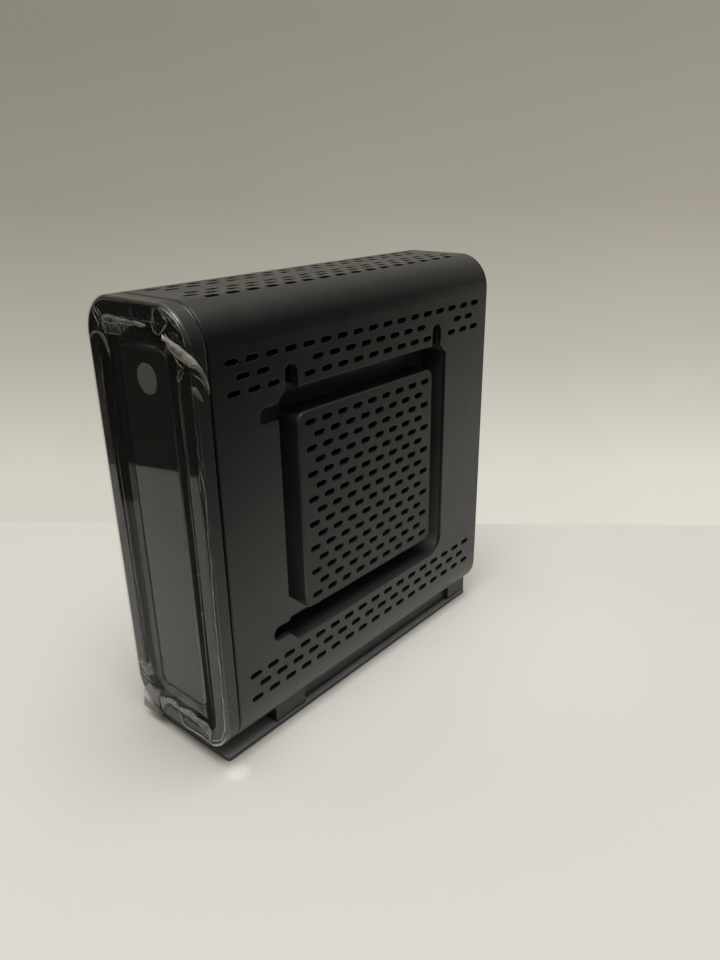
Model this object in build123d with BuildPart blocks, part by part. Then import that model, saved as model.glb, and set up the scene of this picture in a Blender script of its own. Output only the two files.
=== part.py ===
from build123d import *
import os

os.makedirs("parts", exist_ok=True)

# ---------------------------------------------------------------------------
# Upright cable modem on a small base, in mm.
# +Z up, -Y the glossy front, +Y the connector side, +X ("right") the side with
# the wall-mount moat.  The origin is the middle of the whole footprint on the
# table.  The housing is drawn about its own middle; the coax barrel sticks out
# behind it, so the housing's middle lies at Y = dy.
# ---------------------------------------------------------------------------

# ---- housing ----
dy = -4.2                # housing frame to script frame, along Y
half_t = 21.5            # half the housing's thickness, along X
z_bot, z_top = 5.2, 134.6
corner_r = 11.1          # corner radius of the outline seen from the front
wall = 2.2
part_gap = 0.05          # each shell stops this far from the parting plane X = 0
y_rim = -64.6            # front face of the bezel's rim
y_bezel_back = -59.85    # a 0.7 wide groove lies between bezel and shells
y_shell = -59.15         # front edge of the shells
y_back = 64.6            # rear edge of the shells
y_coax_end = 73.35
over = 1.0               # how far most cutters run past an outer face

body_h = z_top - z_bot
z_mid = (z_top + z_bot) / 2
inner_x = half_t - wall          # inner face of a side wall
weld_x = half_t - wall / 2       # middle of the right side wall

# ---- main board ----
pcb_x0, pcb_x1 = -9.6, -8.0      # left face, and right face with the components

# ---- screws: middles of each set ----
boss_at = [(-52, 106), (-52, 34), (52, 90), (52, 50)]           # case (Y, Z)
standoff_at = [(-43, 122), (-43, 17), (45, 122), (45, 17)]      # board (Y, Z)
stand_screw_at = [(-7, -20), (7, -20), (-7, 40), (7, 40)]       # base (X, Y)


# ============================ shared helpers ===============================
# Planes of the housing frame.
def xz(y):
    """Upright plane facing the front at housing Y; local x, y are X, Z."""
    return Plane(origin=(0, y + dy, 0), x_dir=(1, 0, 0), z_dir=(0, -1, 0))


def yz(x):
    """Upright plane facing +X; local x, y are housing Y, Z."""
    return Plane(origin=(x, dy, 0), x_dir=(0, 1, 0), z_dir=(1, 0, 0))


def xy(z):
    """Level plane facing up; local x, y are X, housing Y."""
    return Plane(origin=(0, dy, z), x_dir=(1, 0, 0), z_dir=(0, 0, 1))


# These three draw into the sketch that is open where they are called.
def circles(radius, *sites, mode=Mode.ADD):
    with Locations(*sites):
        Circle(radius, mode=mode)


def crosses(length, width, sites):
    """Cross recesses of screw heads."""
    with Locations(*sites):
        Rectangle(length, width)
        Rectangle(width, length)


def housing_outline(grow=0.0, radius=None, mode=Mode.ADD):
    """The housing seen from the front, offset outwards by grow."""
    if radius is None:
        radius = corner_r + grow
    with Locations((0, z_mid)):
        RectangleRounded(2 * (half_t + grow), body_h + 2 * grow, radius, mode=mode)


# These two build a whole piece.
def blocks(base_x, sites, size_y, size_z, rise):
    """Rectangular blocks that rise towards +X from base_x."""
    with BuildPart() as made:
        with BuildSketch(yz(base_x)):
            with Locations(*sites):
                Rectangle(size_y, size_z)
        extrude(amount=rise)
    return made.part


def ring(y, site, outer_r, inner_r, depth):
    """Flat ring or sleeve that runs back from y."""
    with BuildPart() as made:
        with BuildSketch(xz(y)):
            circles(outer_r, site)
            circles(inner_r, site, mode=Mode.SUBTRACT)
        extrude(amount=-depth)
    return made.part


def save(name, part):
    part.label = name
    export_step(part, f"parts/{name}.step")


# ================================ vents ====================================
slot_l, slot_w = 4.4, 1.8
pitch = 6.79             # along Y
row_y0 = -52.24          # first vent of a full row
vent_back = 1.2          # vent cutters start this far inside the wall

# Side rows: Z, staggered, places left out for the keyholes of the right shell.
side_rows = [
    (119.6, False, ()),
    (115.6, True, (2, 3, 12, 13)),
    (111.6, False, (3, 13)),
    (27.8, False, ()),
    (23.8, True, ()),
    (19.8, False, ()),
]
top_rows = [(4.0, True), (8.0, False), (12.0, True)]     # distance from X = 0, staggered
# Vents of the raised block: first Y, first Z, vents in a row, rows.
block_vents = [(-24.23, 97.1, 9, 8), (-20.84, 93.1, 8, 7)]
block_row_pitch = 7.96   # between rows of the same set


def vent_row(staggered, skip=()):
    """Y places of one row; a staggered row starts half a pitch on, one vent short."""
    count = 16 if staggered else 17
    start = row_y0 + (pitch / 2 if staggered else 0.0)
    return [start + pitch * i for i in range(count) if i not in skip]


def vent_slots(sites, rotation=0):
    with Locations(*sites):
        SlotOverall(slot_l, slot_w, rotation=rotation)


def side_vents(clear_keyholes):
    for z, staggered, skip in side_rows:
        places = vent_row(staggered, skip if clear_keyholes else ())
        vent_slots([(y, z) for y in places])


def top_vents(side):
    for x, staggered in top_rows:
        vent_slots([(side * x, y) for y in vent_row(staggered)], rotation=90)


# ============================ shells, common ===============================
front_bevel, rear_bevel = 0.35, 0.5
rib_y, rib_depth, rib_height = 60.2, 1.5, 1.2
rib_root = 0.2           # how far the rib sinks into the wall
boss_root = 0.3          # how far a boss sinks into the wall it stands on
stand_boss_r, stand_boss_h = 2.6, 3.4
stand_hole_r, stand_hole_depth = 1.25, 5.2
stand_hole_z = z_bot - 0.5


def keep_half(side):
    """Leave only the half on one side of X = 0: 1 is right, -1 is left."""
    with Locations((side * (part_gap - half_t), z_mid)):
        Rectangle(2 * half_t, body_h + 10, mode=Mode.SUBTRACT)


def shell_blank(side):
    """Half a rounded tube with the rib that stops the rear panel."""
    with BuildPart() as blank:
        with BuildSketch(xz(y_shell)):
            housing_outline()
            housing_outline(-wall, mode=Mode.SUBTRACT)
            keep_half(side)
        extrude(amount=-(y_back - y_shell))
        with BuildSketch(xz(rib_y)):
            housing_outline(-wall + rib_root, radius=corner_r - wall)
            housing_outline(-wall - rib_height, mode=Mode.SUBTRACT)
            keep_half(side)
        extrude(amount=-rib_depth)
    return blank.part


def stand_sites(side):
    return [(x, y) for x, y in stand_screw_at if side * x > 0]


# Bevel rings taken off the shells' front and rear outer edges.
with BuildPart() as shell_bevel:
    for y, amount in ((y_shell + front_bevel, front_bevel), (y_back - rear_bevel, -rear_bevel)):
        for taper, how in ((0, Mode.ADD), (45, Mode.SUBTRACT)):
            with BuildSketch(xz(y)):
                housing_outline()
            extrude(amount=amount, taper=taper, mode=how)

# ============================= right shell =================================
moat_floor = 12.1        # X of the moat's floor
moat_wall = 1.8
moat_l, moat_r = -37.4, 39.6
moat_b, moat_t = 31.25, 108.6
moat_mid = ((moat_l + moat_r) / 2, (moat_b + moat_t) / 2)
moat_corner_r = 5.9
moat_chamfer = 0.35
tub_floor = moat_floor - moat_wall
tub_r = 4

block_l, block_r = -29.3, 34.4
block_b, block_t = 37.8, 100.65
block_mid = ((block_l + block_r) / 2, (block_b + block_t) / 2)
block_face = 20.2        # X of the raised block's face
block_skin = 1.8
block_corner_r, block_inner_r = 2.8, 1.4
block_edge = 0.45        # bevel of the block's outer edge

key_r = 2.35             # half the keyhole slot's width
head_r = 4.2             # undercut for the screw's head
key_vert = (-32.3, 34.4)     # Y of the two upright keyholes
key_horz = (36.7, 103.4)     # Z of the two level keyholes
key_top = 115.6          # upper end of the upright keyholes
key_left = -44.4         # front end of the level keyholes
undercut_x = 14.0        # X of the undercut's floor
pocket_x = 12.7          # X of the pocket's closed back
pocket_wall = 1.2

right_boss_x = 0.3
right_boss_r, right_boss_hole_r = 3.5, 1.45

# Outlines on the side, as (Y, Z) points.
moat_outline = [
    (moat_l, 105.9), (-34.8, moat_t), (36.8, moat_t), (moat_r, 105.7),
    (moat_r, moat_b), (-34.7, moat_b), (moat_l, 34.0),
]
bridge_outline = [
    (-41, 47.0), (moat_l, 47.0), (-30.5, 40.45), (-28.0, 40.45),
    (-28.0, 39.8), (-37.2, 39.8), (-38.0, 38.9), (-41, 38.9),
]
moat_edge_outline = [
    (moat_l, 47.0), (moat_l, 105.9), (-34.8, moat_t), (36.8, moat_t), (moat_r, 105.7),
    (moat_r, 37.15), (33.7, moat_b), (-34.7, moat_b), (moat_l, 34.0), (moat_l, 39.4),
    (-37.2, 39.8), (-30.5, 39.8), (-30.5, 40.45),
]


def block_outline(inset=0.0, radius=block_corner_r, mode=Mode.ADD):
    with Locations(block_mid):
        size_y = block_r - block_l - 2 * inset
        size_z = block_t - block_b - 2 * inset
        RectangleRounded(size_y, size_z, radius, mode=mode)


def keyholes(radius, lap_up=0.0, lap_level=0.0):
    """Round-ended slots leading out of the moat, lapping into it at their open end."""
    start_z, end_z = moat_t - lap_up, key_top - key_r
    for y in key_vert:
        with Locations((y, (start_z + end_z) / 2)):
            Rectangle(2 * radius, end_z - start_z)
        circles(radius, (y, end_z))
    start_y, end_y = moat_l + lap_level, key_left + key_r
    for z in key_horz:
        with Locations(((start_y + end_y) / 2, z)):
            Rectangle(start_y - end_y, 2 * radius)
        circles(radius, (end_y, z))


# Bevel ring taken off the raised block's outer edge.
with BuildPart() as block_bevel:
    for taper, how in ((0, Mode.ADD), (45, Mode.SUBTRACT)):
        with BuildSketch(yz(block_face - block_edge)):
            block_outline()
        extrude(amount=block_edge, taper=taper, mode=how)

with BuildPart() as right_shell:
    add(shell_blank(1))
    # tub behind the moat
    with BuildSketch(yz(tub_floor)):
        with Locations(moat_mid):
            RectangleRounded(
                moat_r - moat_l + 2 * moat_wall, moat_t - moat_b + 2 * moat_wall, tub_r
            )
    extrude(amount=weld_x - tub_floor)
    # pockets behind the keyholes
    with BuildSketch(yz(pocket_x)):
        keyholes(head_r + pocket_wall)
    extrude(amount=weld_x - pocket_x)
    # inside of the perforated block
    with BuildSketch(yz(tub_floor - 0.1)):
        block_outline(block_skin, block_inner_r)
    extrude(amount=block_face - block_skin - tub_floor + 0.1, mode=Mode.SUBTRACT)
    # the moat itself, all round the block but for the small bridge
    with BuildSketch(yz(moat_floor)) as moat_cut:
        with BuildLine():
            Polyline(*moat_outline, close=True)
        make_face()
        fillet(moat_cut.vertices().sort_by(lambda v: v.X - v.Y)[-1], moat_corner_r)
        block_outline(mode=Mode.SUBTRACT)
        with BuildLine():
            Polyline(*bridge_outline, close=True)
        make_face(mode=Mode.SUBTRACT)
    extrude(amount=half_t + over - moat_floor, mode=Mode.SUBTRACT)
    # the block's face is set a little back from the side
    with BuildSketch(yz(block_face)):
        block_outline()
    extrude(amount=half_t + over - block_face, mode=Mode.SUBTRACT)
    add(block_bevel.part, mode=Mode.SUBTRACT)
    # small chamfer where the moat meets the side
    with BuildSketch(yz(half_t - moat_chamfer)):
        with BuildLine():
            Polyline(*moat_edge_outline, close=True)
        make_face()
    extrude(amount=moat_chamfer, taper=-45, mode=Mode.SUBTRACT)
    # keyhole slots through the side, and the undercut for the screw's head
    with BuildSketch(yz(inner_x - 0.1)):
        keyholes(key_r, lap_up=2, lap_level=0.2)
    extrude(amount=wall + over, mode=Mode.SUBTRACT)
    with BuildSketch(yz(undercut_x)):
        keyholes(head_r, lap_up=0.2, lap_level=0.2)
    extrude(amount=inner_x - undercut_x, mode=Mode.SUBTRACT)
    add(shell_bevel.part, mode=Mode.SUBTRACT)
    # bosses for the case screws
    with BuildSketch(yz(right_boss_x)):
        circles(right_boss_r, *boss_at)
    extrude(amount=inner_x)
    with BuildSketch(yz(right_boss_x - 0.1)):
        circles(right_boss_hole_r, *boss_at)
    extrude(amount=12, mode=Mode.SUBTRACT)
    # short bosses for the base screws
    with BuildSketch(xy(z_bot + wall - boss_root)):
        circles(stand_boss_r, *stand_sites(1))
    extrude(amount=stand_boss_h)
    with BuildSketch(xy(stand_hole_z)):
        circles(stand_hole_r, *stand_sites(1))
    extrude(amount=stand_hole_depth, mode=Mode.SUBTRACT)
    # vents of the raised block, the side and the top
    with BuildSketch(yz(block_face - block_skin - 0.2)):
        for first_y, first_z, count, rows in block_vents:
            vent_slots([
                (first_y + pitch * i, first_z - block_row_pitch * k)
                for k in range(rows) for i in range(count)
            ])
    extrude(amount=3, mode=Mode.SUBTRACT)
    with BuildSketch(yz(inner_x - vent_back)):
        side_vents(clear_keyholes=True)
    extrude(amount=wall + 2, mode=Mode.SUBTRACT)
    with BuildSketch(xy(z_top - wall - vent_back)):
        top_vents(1)
    extrude(amount=wall + 2, mode=Mode.SUBTRACT)
save("right_shell", right_shell.part)

# ============================== left shell =================================
tower_r, tower_hole_r = 3.75, 1.7
head_seat_x = -6.0       # X of the case screws' head seats
head_well_r = 3.1
standoff_r, standoff_hole_r, standoff_hole_depth = 3.0, 1.25, 7
label_mid = (0, 69.6)
label_y, label_z, label_r = 60, 42, 1.0
field_margin = 1.0       # label field beyond the label, each way
field_depth = 0.4

# The plain half, with screw towers and the board's standoffs.
with BuildPart() as left_shell:
    add(shell_blank(-1))
    add(shell_bevel.part, mode=Mode.SUBTRACT)
    # towers for the case screws, with wells for their heads
    with BuildSketch(yz(0.0)):
        circles(tower_r, *boss_at)
    extrude(amount=-(inner_x + boss_root))
    with BuildSketch(yz(0.5)):
        circles(tower_hole_r, *boss_at)
    extrude(amount=-(half_t + 1), mode=Mode.SUBTRACT)
    with BuildSketch(yz(head_seat_x)):
        circles(head_well_r, *boss_at)
    extrude(amount=-(half_t + over + head_seat_x), mode=Mode.SUBTRACT)
    # standoffs of the board
    with BuildSketch(yz(pcb_x0)):
        circles(standoff_r, *standoff_at)
    extrude(amount=-(inner_x + pcb_x0 + boss_root))
    with BuildSketch(yz(pcb_x0 + 0.5)):
        circles(standoff_hole_r, *standoff_at)
    extrude(amount=-standoff_hole_depth, mode=Mode.SUBTRACT)
    # short bosses for the base screws
    with BuildSketch(xy(z_bot + wall - boss_root)):
        circles(stand_boss_r, *stand_sites(-1))
    extrude(amount=stand_boss_h)
    with BuildSketch(xy(stand_hole_z)):
        circles(stand_hole_r, *stand_sites(-1))
    extrude(amount=stand_hole_depth, mode=Mode.SUBTRACT)
    # shallow field for the rating label
    with BuildSketch(yz(-half_t - over)):
        with Locations(label_mid):
            RectangleRounded(label_y + 2 * field_margin, label_z + 2 * field_margin, 1.5)
    extrude(amount=over + field_depth, mode=Mode.SUBTRACT)
    # vents of the side and the top
    with BuildSketch(yz(-half_t - over)):
        side_vents(clear_keyholes=False)
    extrude(amount=over + wall + 0.1, mode=Mode.SUBTRACT)
    with BuildSketch(xy(z_top - wall - vent_back)):
        top_vents(-1)
    extrude(amount=wall + 2, mode=Mode.SUBTRACT)
save("left_shell", left_shell.part)

with BuildPart() as rating_label:
    with BuildSketch(yz(-half_t + 0.25)):
        with Locations(label_mid):
            RectangleRounded(label_y, label_z, label_r)
    extrude(amount=0.15)
save("rating_label", rating_label.part)

with BuildPart() as case_screws:
    with BuildSketch(yz(head_seat_x)):
        circles(2.8, *boss_at)
    extrude(amount=-2.2)
    with BuildSketch(yz(head_seat_x)):
        circles(1.4, *boss_at)
    extrude(amount=17)
    with BuildSketch(yz(head_seat_x - 2.3)):
        crosses(3.4, 0.7, boss_at)
    extrude(amount=1.3, mode=Mode.SUBTRACT)
save("case_screws", case_screws.part)

# ============================== rear panel =================================
# Connector middles (X, Z).
jack_x, jack_z = jack_at = (-1.3, 104.0)
coax_at = (-1.3, 66.0)
dc_x, dc_z = dc_at = (-2.5, 26.0)
reset_x, reset_z = reset_at = (-4.8, 82.0)

panel_y, panel_t = 61.8, 2.0
panel_gap = 0.15         # all round, inside the shells
panel_back = panel_y + panel_t + dy

# Let into the back of both shells, against their ribs.
with BuildPart() as rear_panel:
    with BuildSketch(xz(panel_y)):
        housing_outline(-wall - panel_gap)
    extrude(amount=-panel_t)
    with BuildSketch(xz(panel_y - 0.8)):
        with Locations(jack_at):
            Rectangle(13.8, 16.4)
        circles(4.95, coax_at)
        with Locations(dc_at):
            RectangleRounded(11.4, 9.4, 0.6)
        circles(1.25, reset_at)
        # column of upright vents on the +X side of the connectors
        vent_slots([(12.5, 20 + 6 * i) for i in range(17)], rotation=90)
    extrude(amount=-4, mode=Mode.SUBTRACT)
    back_edges = rear_panel.edges().filter_by_position(
        Axis.Y, panel_back - 0.01, panel_back + 0.01
    )
    fillet(back_edges.sort_by(SortBy.LENGTH)[-8:], 0.3)
save("rear_panel", rear_panel.part)

# =============================== front =====================================
bezel_rim = 5.0
rim_round, recess_round = 1.2, 0.5
recess_depth = 2.0
recess_r = 6.4
recess_floor = y_rim + recess_depth
floor_t = 2.0
spigot_gap, spigot_wall = 0.1, 1.6
window_z, window_x, window_h, window_r = 66, 6, 50, 1.2
lens_half_x, lens_b, lens_t = 10.25, 16.7, 122.6
lens_r = 2.8
lens_gap = 0.15
badge_at, badge_r = (1.1, 114.6), 4.05
film_gap, film_t = 0.1, 0.25


def lens_outline(grow, radius, mode=Mode.ADD):
    with Locations((0, (lens_b + lens_t) / 2)):
        RectangleRounded(
            2 * (lens_half_x + grow), lens_t - lens_b + 2 * grow, radius, mode=mode
        )


with BuildPart() as front_bezel:
    with BuildSketch(xz(y_rim)):
        housing_outline()
    extrude(amount=-(y_bezel_back - y_rim))
    fillet(front_bezel.faces().sort_by(Axis.Y)[0].edges(), rim_round)
    # spigot that enters the shells and closes the groove
    with BuildSketch(xz(y_bezel_back - 0.5)):
        housing_outline(-wall - spigot_gap)
    extrude(amount=-3.85)
    # hollow behind the recess floor
    with BuildSketch(xz(recess_floor + floor_t)):
        housing_outline(-wall - spigot_gap - spigot_wall)
    extrude(amount=-6, mode=Mode.SUBTRACT)
    # front recess
    with BuildSketch(xz(y_rim - over)):
        housing_outline(-bezel_rim, radius=recess_r)
    extrude(amount=-(recess_depth + over), mode=Mode.SUBTRACT)
    # seat of the lens, and the window behind it
    with BuildSketch(xz(recess_floor - 0.5)):
        lens_outline(lens_gap, lens_r + lens_gap)
    extrude(amount=-1.5, mode=Mode.SUBTRACT)
    with BuildSketch(xz(recess_floor - 0.5)):
        with Locations((0, window_z)):
            RectangleRounded(window_x, window_h, window_r)
    extrude(amount=-4, mode=Mode.SUBTRACT)
    # round the recess's edge, which lies within the bezel's outer edge
    rim_edges = front_bezel.edges().filter_by_position(
        Axis.Y, y_rim + dy - 0.01, y_rim + dy + 0.01
    )
    fillet(
        [e for e in rim_edges if abs(e.center().X) < 17.0 and 9.5 < e.center().Z < 130.3],
        recess_round,
    )
save("front_bezel", front_bezel.part)

with BuildPart() as lens_adhesive:
    with BuildSketch(xz(recess_floor + 0.85)):
        lens_outline(-0.2, 2.4)
        lens_outline(-3.2, 1.2, mode=Mode.SUBTRACT)
    extrude(amount=-0.15)
save("lens_adhesive", lens_adhesive.part)

with BuildPart() as front_lens:
    with BuildSketch(xz(recess_floor - 0.2)):
        lens_outline(0, lens_r)
    extrude(amount=-1.05)
    chamfer(front_lens.faces().sort_by(Axis.Y)[0].edges(), 0.4)
save("front_lens", front_lens.part)

with BuildPart() as badge_disc:
    with BuildSketch(xz(recess_floor - 0.45)):
        circles(badge_r, badge_at)
    extrude(amount=-0.25)
    fillet(badge_disc.faces().sort_by(Axis.Y)[0].edges(), 0.12)
save("badge_disc", badge_disc.part)

# Clear shipping film: a thin cap that stays just off the bezel.
with BuildPart() as protective_film:
    with BuildSketch(xz(y_rim - film_gap - film_t)):
        housing_outline(film_gap + film_t)
    extrude(amount=-4.6)
    with BuildSketch(xz(y_rim - film_gap)):
        housing_outline(film_gap)
    extrude(amount=-6, mode=Mode.SUBTRACT)
save("protective_film", protective_film.part)

# ---- light guide: five prongs from the lamps on the board to the window ----
lamp_y, lamp_z = -46.9, [46, 56, 66, 76, 86]
prong_t = 2.6            # along Z
# Prong seen from above (X, Y): from the lamp, slanting forward to the window.
prong_outline = [
    (-7.9, -48.2), (-7.9, -51.6), (-1.2, -56.6), (-1.2, -61.4),
    (1.2, -61.4), (1.2, -55.4), (-5.5, -50.4), (-5.5, -48.2),
]

save("led_lamps", blocks(pcb_x1, [(lamp_y, z) for z in lamp_z], 1.8, 3.0, 1.9))

with BuildPart() as light_pipe:
    for z in lamp_z:
        with BuildSketch(xy(z - prong_t / 2)):
            with BuildLine():
                Polyline(*prong_outline, close=True)
            make_face()
        extrude(amount=prong_t)
    # upright bar that joins the prongs
    with BuildSketch(xy(lamp_z[0] - prong_t / 2)):
        with Locations((0, -56.4)):
            Rectangle(2.4, 1.4)
    extrude(amount=lamp_z[-1] - lamp_z[0] + prong_t)
save("light_pipe", light_pipe.part)

# Block behind the window, with an opening round each prong.
with BuildPart() as light_block:
    with BuildSketch(xz(-60.5)):
        with Locations((0, window_z)):
            RectangleRounded(9, 54, 1)
        with Locations(*[(0, z) for z in lamp_z]):
            Rectangle(2.8, 3.0, mode=Mode.SUBTRACT)
    extrude(amount=-2.8)
save("light_block", light_block.part)

# ============================ base and feet ================================
# Spans along Y, front to rear.
foot_spans = [(-41.9, -29.0), (52.6, 63.8)]
block_span = (-41.4, 63.3)
plate_span = (-62.1, 64.2)
hollow_spans = [(-26.5, -6.0), (-4.4, 24.4), (26.0, 50.2)]
block_half_x, foot_half_x, plate_half_x, hollow_half_x = 15.6, 17.2, 17.7, 13.4
stand_h = 9              # before the cradle is cut
plate_z, plate_t = 0.2, 1.3
cradle_gap = 0.05
pad_x, pad_w, pad_r, pad_t = 11.4, 9.0, 1.5, 1.0
pad_inset = 1.3          # from each end of the foot
pad_gap = 0.1            # between pad and seat
screw_seat_z, screw_head_h = 1.7, 1.5


def rounded_span(span, half_x, radius):
    front, rear = span
    with Locations((0, (front + rear) / 2)):
        RectangleRounded(2 * half_x, rear - front, radius)


def pad_outlines(grow=0.0):
    for front, rear in foot_spans:
        mid = (front + rear) / 2
        length = rear - front - 2 * pad_inset
        with Locations((pad_x, mid), (-pad_x, mid)):
            RectangleRounded(pad_w + 2 * grow, length + 2 * grow, pad_r + grow)


with BuildPart() as base_stand:
    with BuildSketch(xy(0.4)):
        rounded_span(block_span, block_half_x, 1.0)
    extrude(amount=stand_h)
    with BuildSketch(xy(plate_z)):
        for front, rear in foot_spans:
            with Locations((0, (front + rear) / 2)):
                Rectangle(2 * foot_half_x, rear - front)
    extrude(amount=stand_h)
    # sole plate: runs forward under the bezel and a little proud of the feet
    with BuildSketch(xy(plate_z)):
        rounded_span(plate_span, plate_half_x, 1.2)
    extrude(amount=plate_t)
    # cradle for the housing's rounded underside
    with BuildSketch(xz(-70)):
        housing_outline(cradle_gap)
        with Locations((0, z_mid + 40)):
            Rectangle(60, body_h)
    extrude(amount=-140, mode=Mode.SUBTRACT)
    # hollow underside between the feet, with two cross ribs left in
    with BuildSketch(xy(-0.5)):
        for span in hollow_spans:
            rounded_span(span, hollow_half_x, 1.2)
    extrude(amount=3.7, mode=Mode.SUBTRACT)
    with BuildSketch(xy(-0.5)):
        circles(1.5, *stand_screw_at)
    extrude(amount=8, mode=Mode.SUBTRACT)
    # seats of the rubber pads
    with BuildSketch(xy(-0.5)):
        pad_outlines(pad_gap)
    extrude(amount=0.5 + pad_t, mode=Mode.SUBTRACT)
save("base_stand", base_stand.part)

with BuildPart() as foot_pads:
    with BuildSketch(xy(0)):
        pad_outlines()
    extrude(amount=pad_t)
save("foot_pads", foot_pads.part)

with BuildPart() as stand_screws:
    with BuildSketch(xy(screw_seat_z)):
        circles(2.5, *stand_screw_at)
    extrude(amount=screw_head_h)
    with BuildSketch(xy(screw_seat_z + screw_head_h)):
        circles(1.2, *stand_screw_at)
    extrude(amount=6.0)
save("stand_screws", stand_screws.part)

# ============================ main board ===================================
sink_pin_at = [(-20.0, 91.6), (25.0, 46.8)]     # heat sink push pins (Y, Z)

with BuildPart() as main_pcb:
    with BuildSketch(yz(pcb_x0)):
        with Locations((6, 69.5)):
            RectangleRounded(108, 117, 1.5)
        # room for the rear screw towers, then holes for screws and push pins
        circles(4.2, *[site for site in boss_at if site[0] > 0], mode=Mode.SUBTRACT)
        circles(1.5, *standoff_at, mode=Mode.SUBTRACT)
        circles(1.6, *sink_pin_at, mode=Mode.SUBTRACT)
    extrude(amount=pcb_x1 - pcb_x0)
save("main_pcb", main_pcb.part)

with BuildPart() as pcb_screws:
    with BuildSketch(yz(pcb_x1)):
        circles(2.6, *standoff_at)
    extrude(amount=1.6)
    with BuildSketch(yz(pcb_x1)):
        circles(1.2, *standoff_at)
    extrude(amount=-6.5)
    with BuildSketch(yz(pcb_x1 + 0.9)):
        crosses(3.0, 0.6, standoff_at)
    extrude(amount=1.0, mode=Mode.SUBTRACT)
save("pcb_screws", pcb_screws.part)

# ---- main chip, pad and heat sink, stacked towards +X ----
chip_at = (2.5, 69.2)
carrier_t, die_t, pad_layer_t = 1.0, 0.7, 0.7
sink_size, sink_base_t = 54, 3.0
fin_count, fin_pitch, fin_t, fin_h = 13, 4.4, 1.2, 17.1
pad_layer_x = pcb_x1 + carrier_t + die_t
sink_x = pad_layer_x + pad_layer_t
sink_top_x = sink_x + sink_base_t

with BuildPart() as soc_chip:
    with BuildSketch(yz(pcb_x1)):
        with Locations(chip_at):
            Rectangle(23, 23)
    extrude(amount=carrier_t)
    with BuildSketch(yz(pcb_x1 + carrier_t)):
        with Locations(chip_at):
            RectangleRounded(19, 19, 0.6)
    extrude(amount=die_t)
save("soc_chip", soc_chip.part)

save("thermal_pad", blocks(pad_layer_x, [chip_at], 20, 20, pad_layer_t))

with BuildPart() as heatsink:
    with BuildSketch(yz(sink_x)):
        with Locations(chip_at):
            RectangleRounded(sink_size, sink_size, 1)
    extrude(amount=sink_base_t)
    with BuildSketch(yz(sink_top_x - 0.1)):
        with Locations(chip_at):
            with GridLocations(fin_pitch, 1, fin_count, 1):
                Rectangle(fin_t, sink_size)
    extrude(amount=fin_h)
    # wells in the fins and holes in the base for the push pins
    with BuildSketch(yz(sink_top_x)):
        circles(4.0, *sink_pin_at)
    extrude(amount=20, mode=Mode.SUBTRACT)
    with BuildSketch(yz(sink_x - 0.4)):
        circles(1.65, *sink_pin_at)
    extrude(amount=5, mode=Mode.SUBTRACT)
save("heatsink", heatsink.part)

with BuildPart() as heatsink_pins:
    with BuildSketch(yz(sink_top_x)):
        circles(3.0, *sink_pin_at)
    extrude(amount=1.4)
    with BuildSketch(yz(sink_top_x)):
        circles(1.45, *sink_pin_at)
    extrude(amount=-10)
save("heatsink_pins", heatsink_pins.part)

# ---- small components ----
# Plain blocks: name, middles (Y, Z), size along Y, size along Z, height.
tuner_at = (38.6, 66)
board_blocks = [
    ("memory_chips", [(-17, 80), (-17, 60)], 9, 13, 1.2),
    ("flash_chip", [(-10, 106)], 8, 6, 1.2),
    ("support_chips", [(20, 106), (-30, 40), (-6, 28), (14, 30)], 6, 6, 1.1),
    ("tuner_chip", [tuner_at], 7, 7, 1.0),
    ("ethernet_transformer", [(36, jack_z)], 9.6, 13, 4.0),
]
for name, sites, size_y, size_z, height in board_blocks:
    save(name, blocks(pcb_x1, sites, size_y, size_z, height))

with BuildPart() as crystal:
    with BuildSketch(yz(pcb_x1)):
        with Locations((6, 104)):
            SlotOverall(11, 4.6)
    extrude(amount=3.4)
    fillet(crystal.faces().sort_by(Axis.X)[-1].edges(), 0.5)
save("crystal", crystal.part)

with BuildPart() as power_inductors:
    with BuildSketch(yz(pcb_x1)):
        with Locations((24, 24), (-18, 26), (-32, 26)):
            RectangleRounded(7, 7, 1.6)
    extrude(amount=4.2)
save("power_inductors", power_inductors.part)

with BuildPart() as electrolytic_capacitors:
    with BuildSketch(yz(pcb_x1)):
        circles(4.0, (38, 38), (36, 20), (6, 20))
    extrude(amount=11)
    can_circles = electrolytic_capacitors.edges().filter_by(GeomType.CIRCLE)
    fillet(can_circles.group_by(Axis.X)[-1], 0.5)
save("electrolytic_capacitors", electrolytic_capacitors.part)

# Fields of small parts: middle, pitch along Y and Z, count along Y and Z.
passive_fields = [
    ((-34, 76), (3.6, 4.2), (3, 6)),
    ((-6, 116), (4.2, 3.0), (5, 2)),
]
with BuildPart() as smd_passives:
    with BuildSketch(yz(pcb_x1)):
        for middle, pitches, counts in passive_fields:
            with Locations(middle):
                with GridLocations(*pitches, *counts):
                    Rectangle(1.6, 0.9)
    extrude(amount=0.7)
save("smd_passives", smd_passives.part)

# ---- tuner shield over the radio front end ----
frame_y, frame_z, frame_wall = 15.6, 22, 0.35
lid_x = pcb_x1 + 2.0
lid_lap, lid_clear = 0.4, 0.1    # lid's outside and inside beyond the frame, each way

with BuildPart() as tuner_shield_frame:
    with BuildSketch(yz(pcb_x1)):
        with Locations(tuner_at):
            Rectangle(frame_y, frame_z)
            Rectangle(frame_y - 2 * frame_wall, frame_z - 2 * frame_wall, mode=Mode.SUBTRACT)
    extrude(amount=4.6)
save("tuner_shield_frame", tuner_shield_frame.part)

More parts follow.
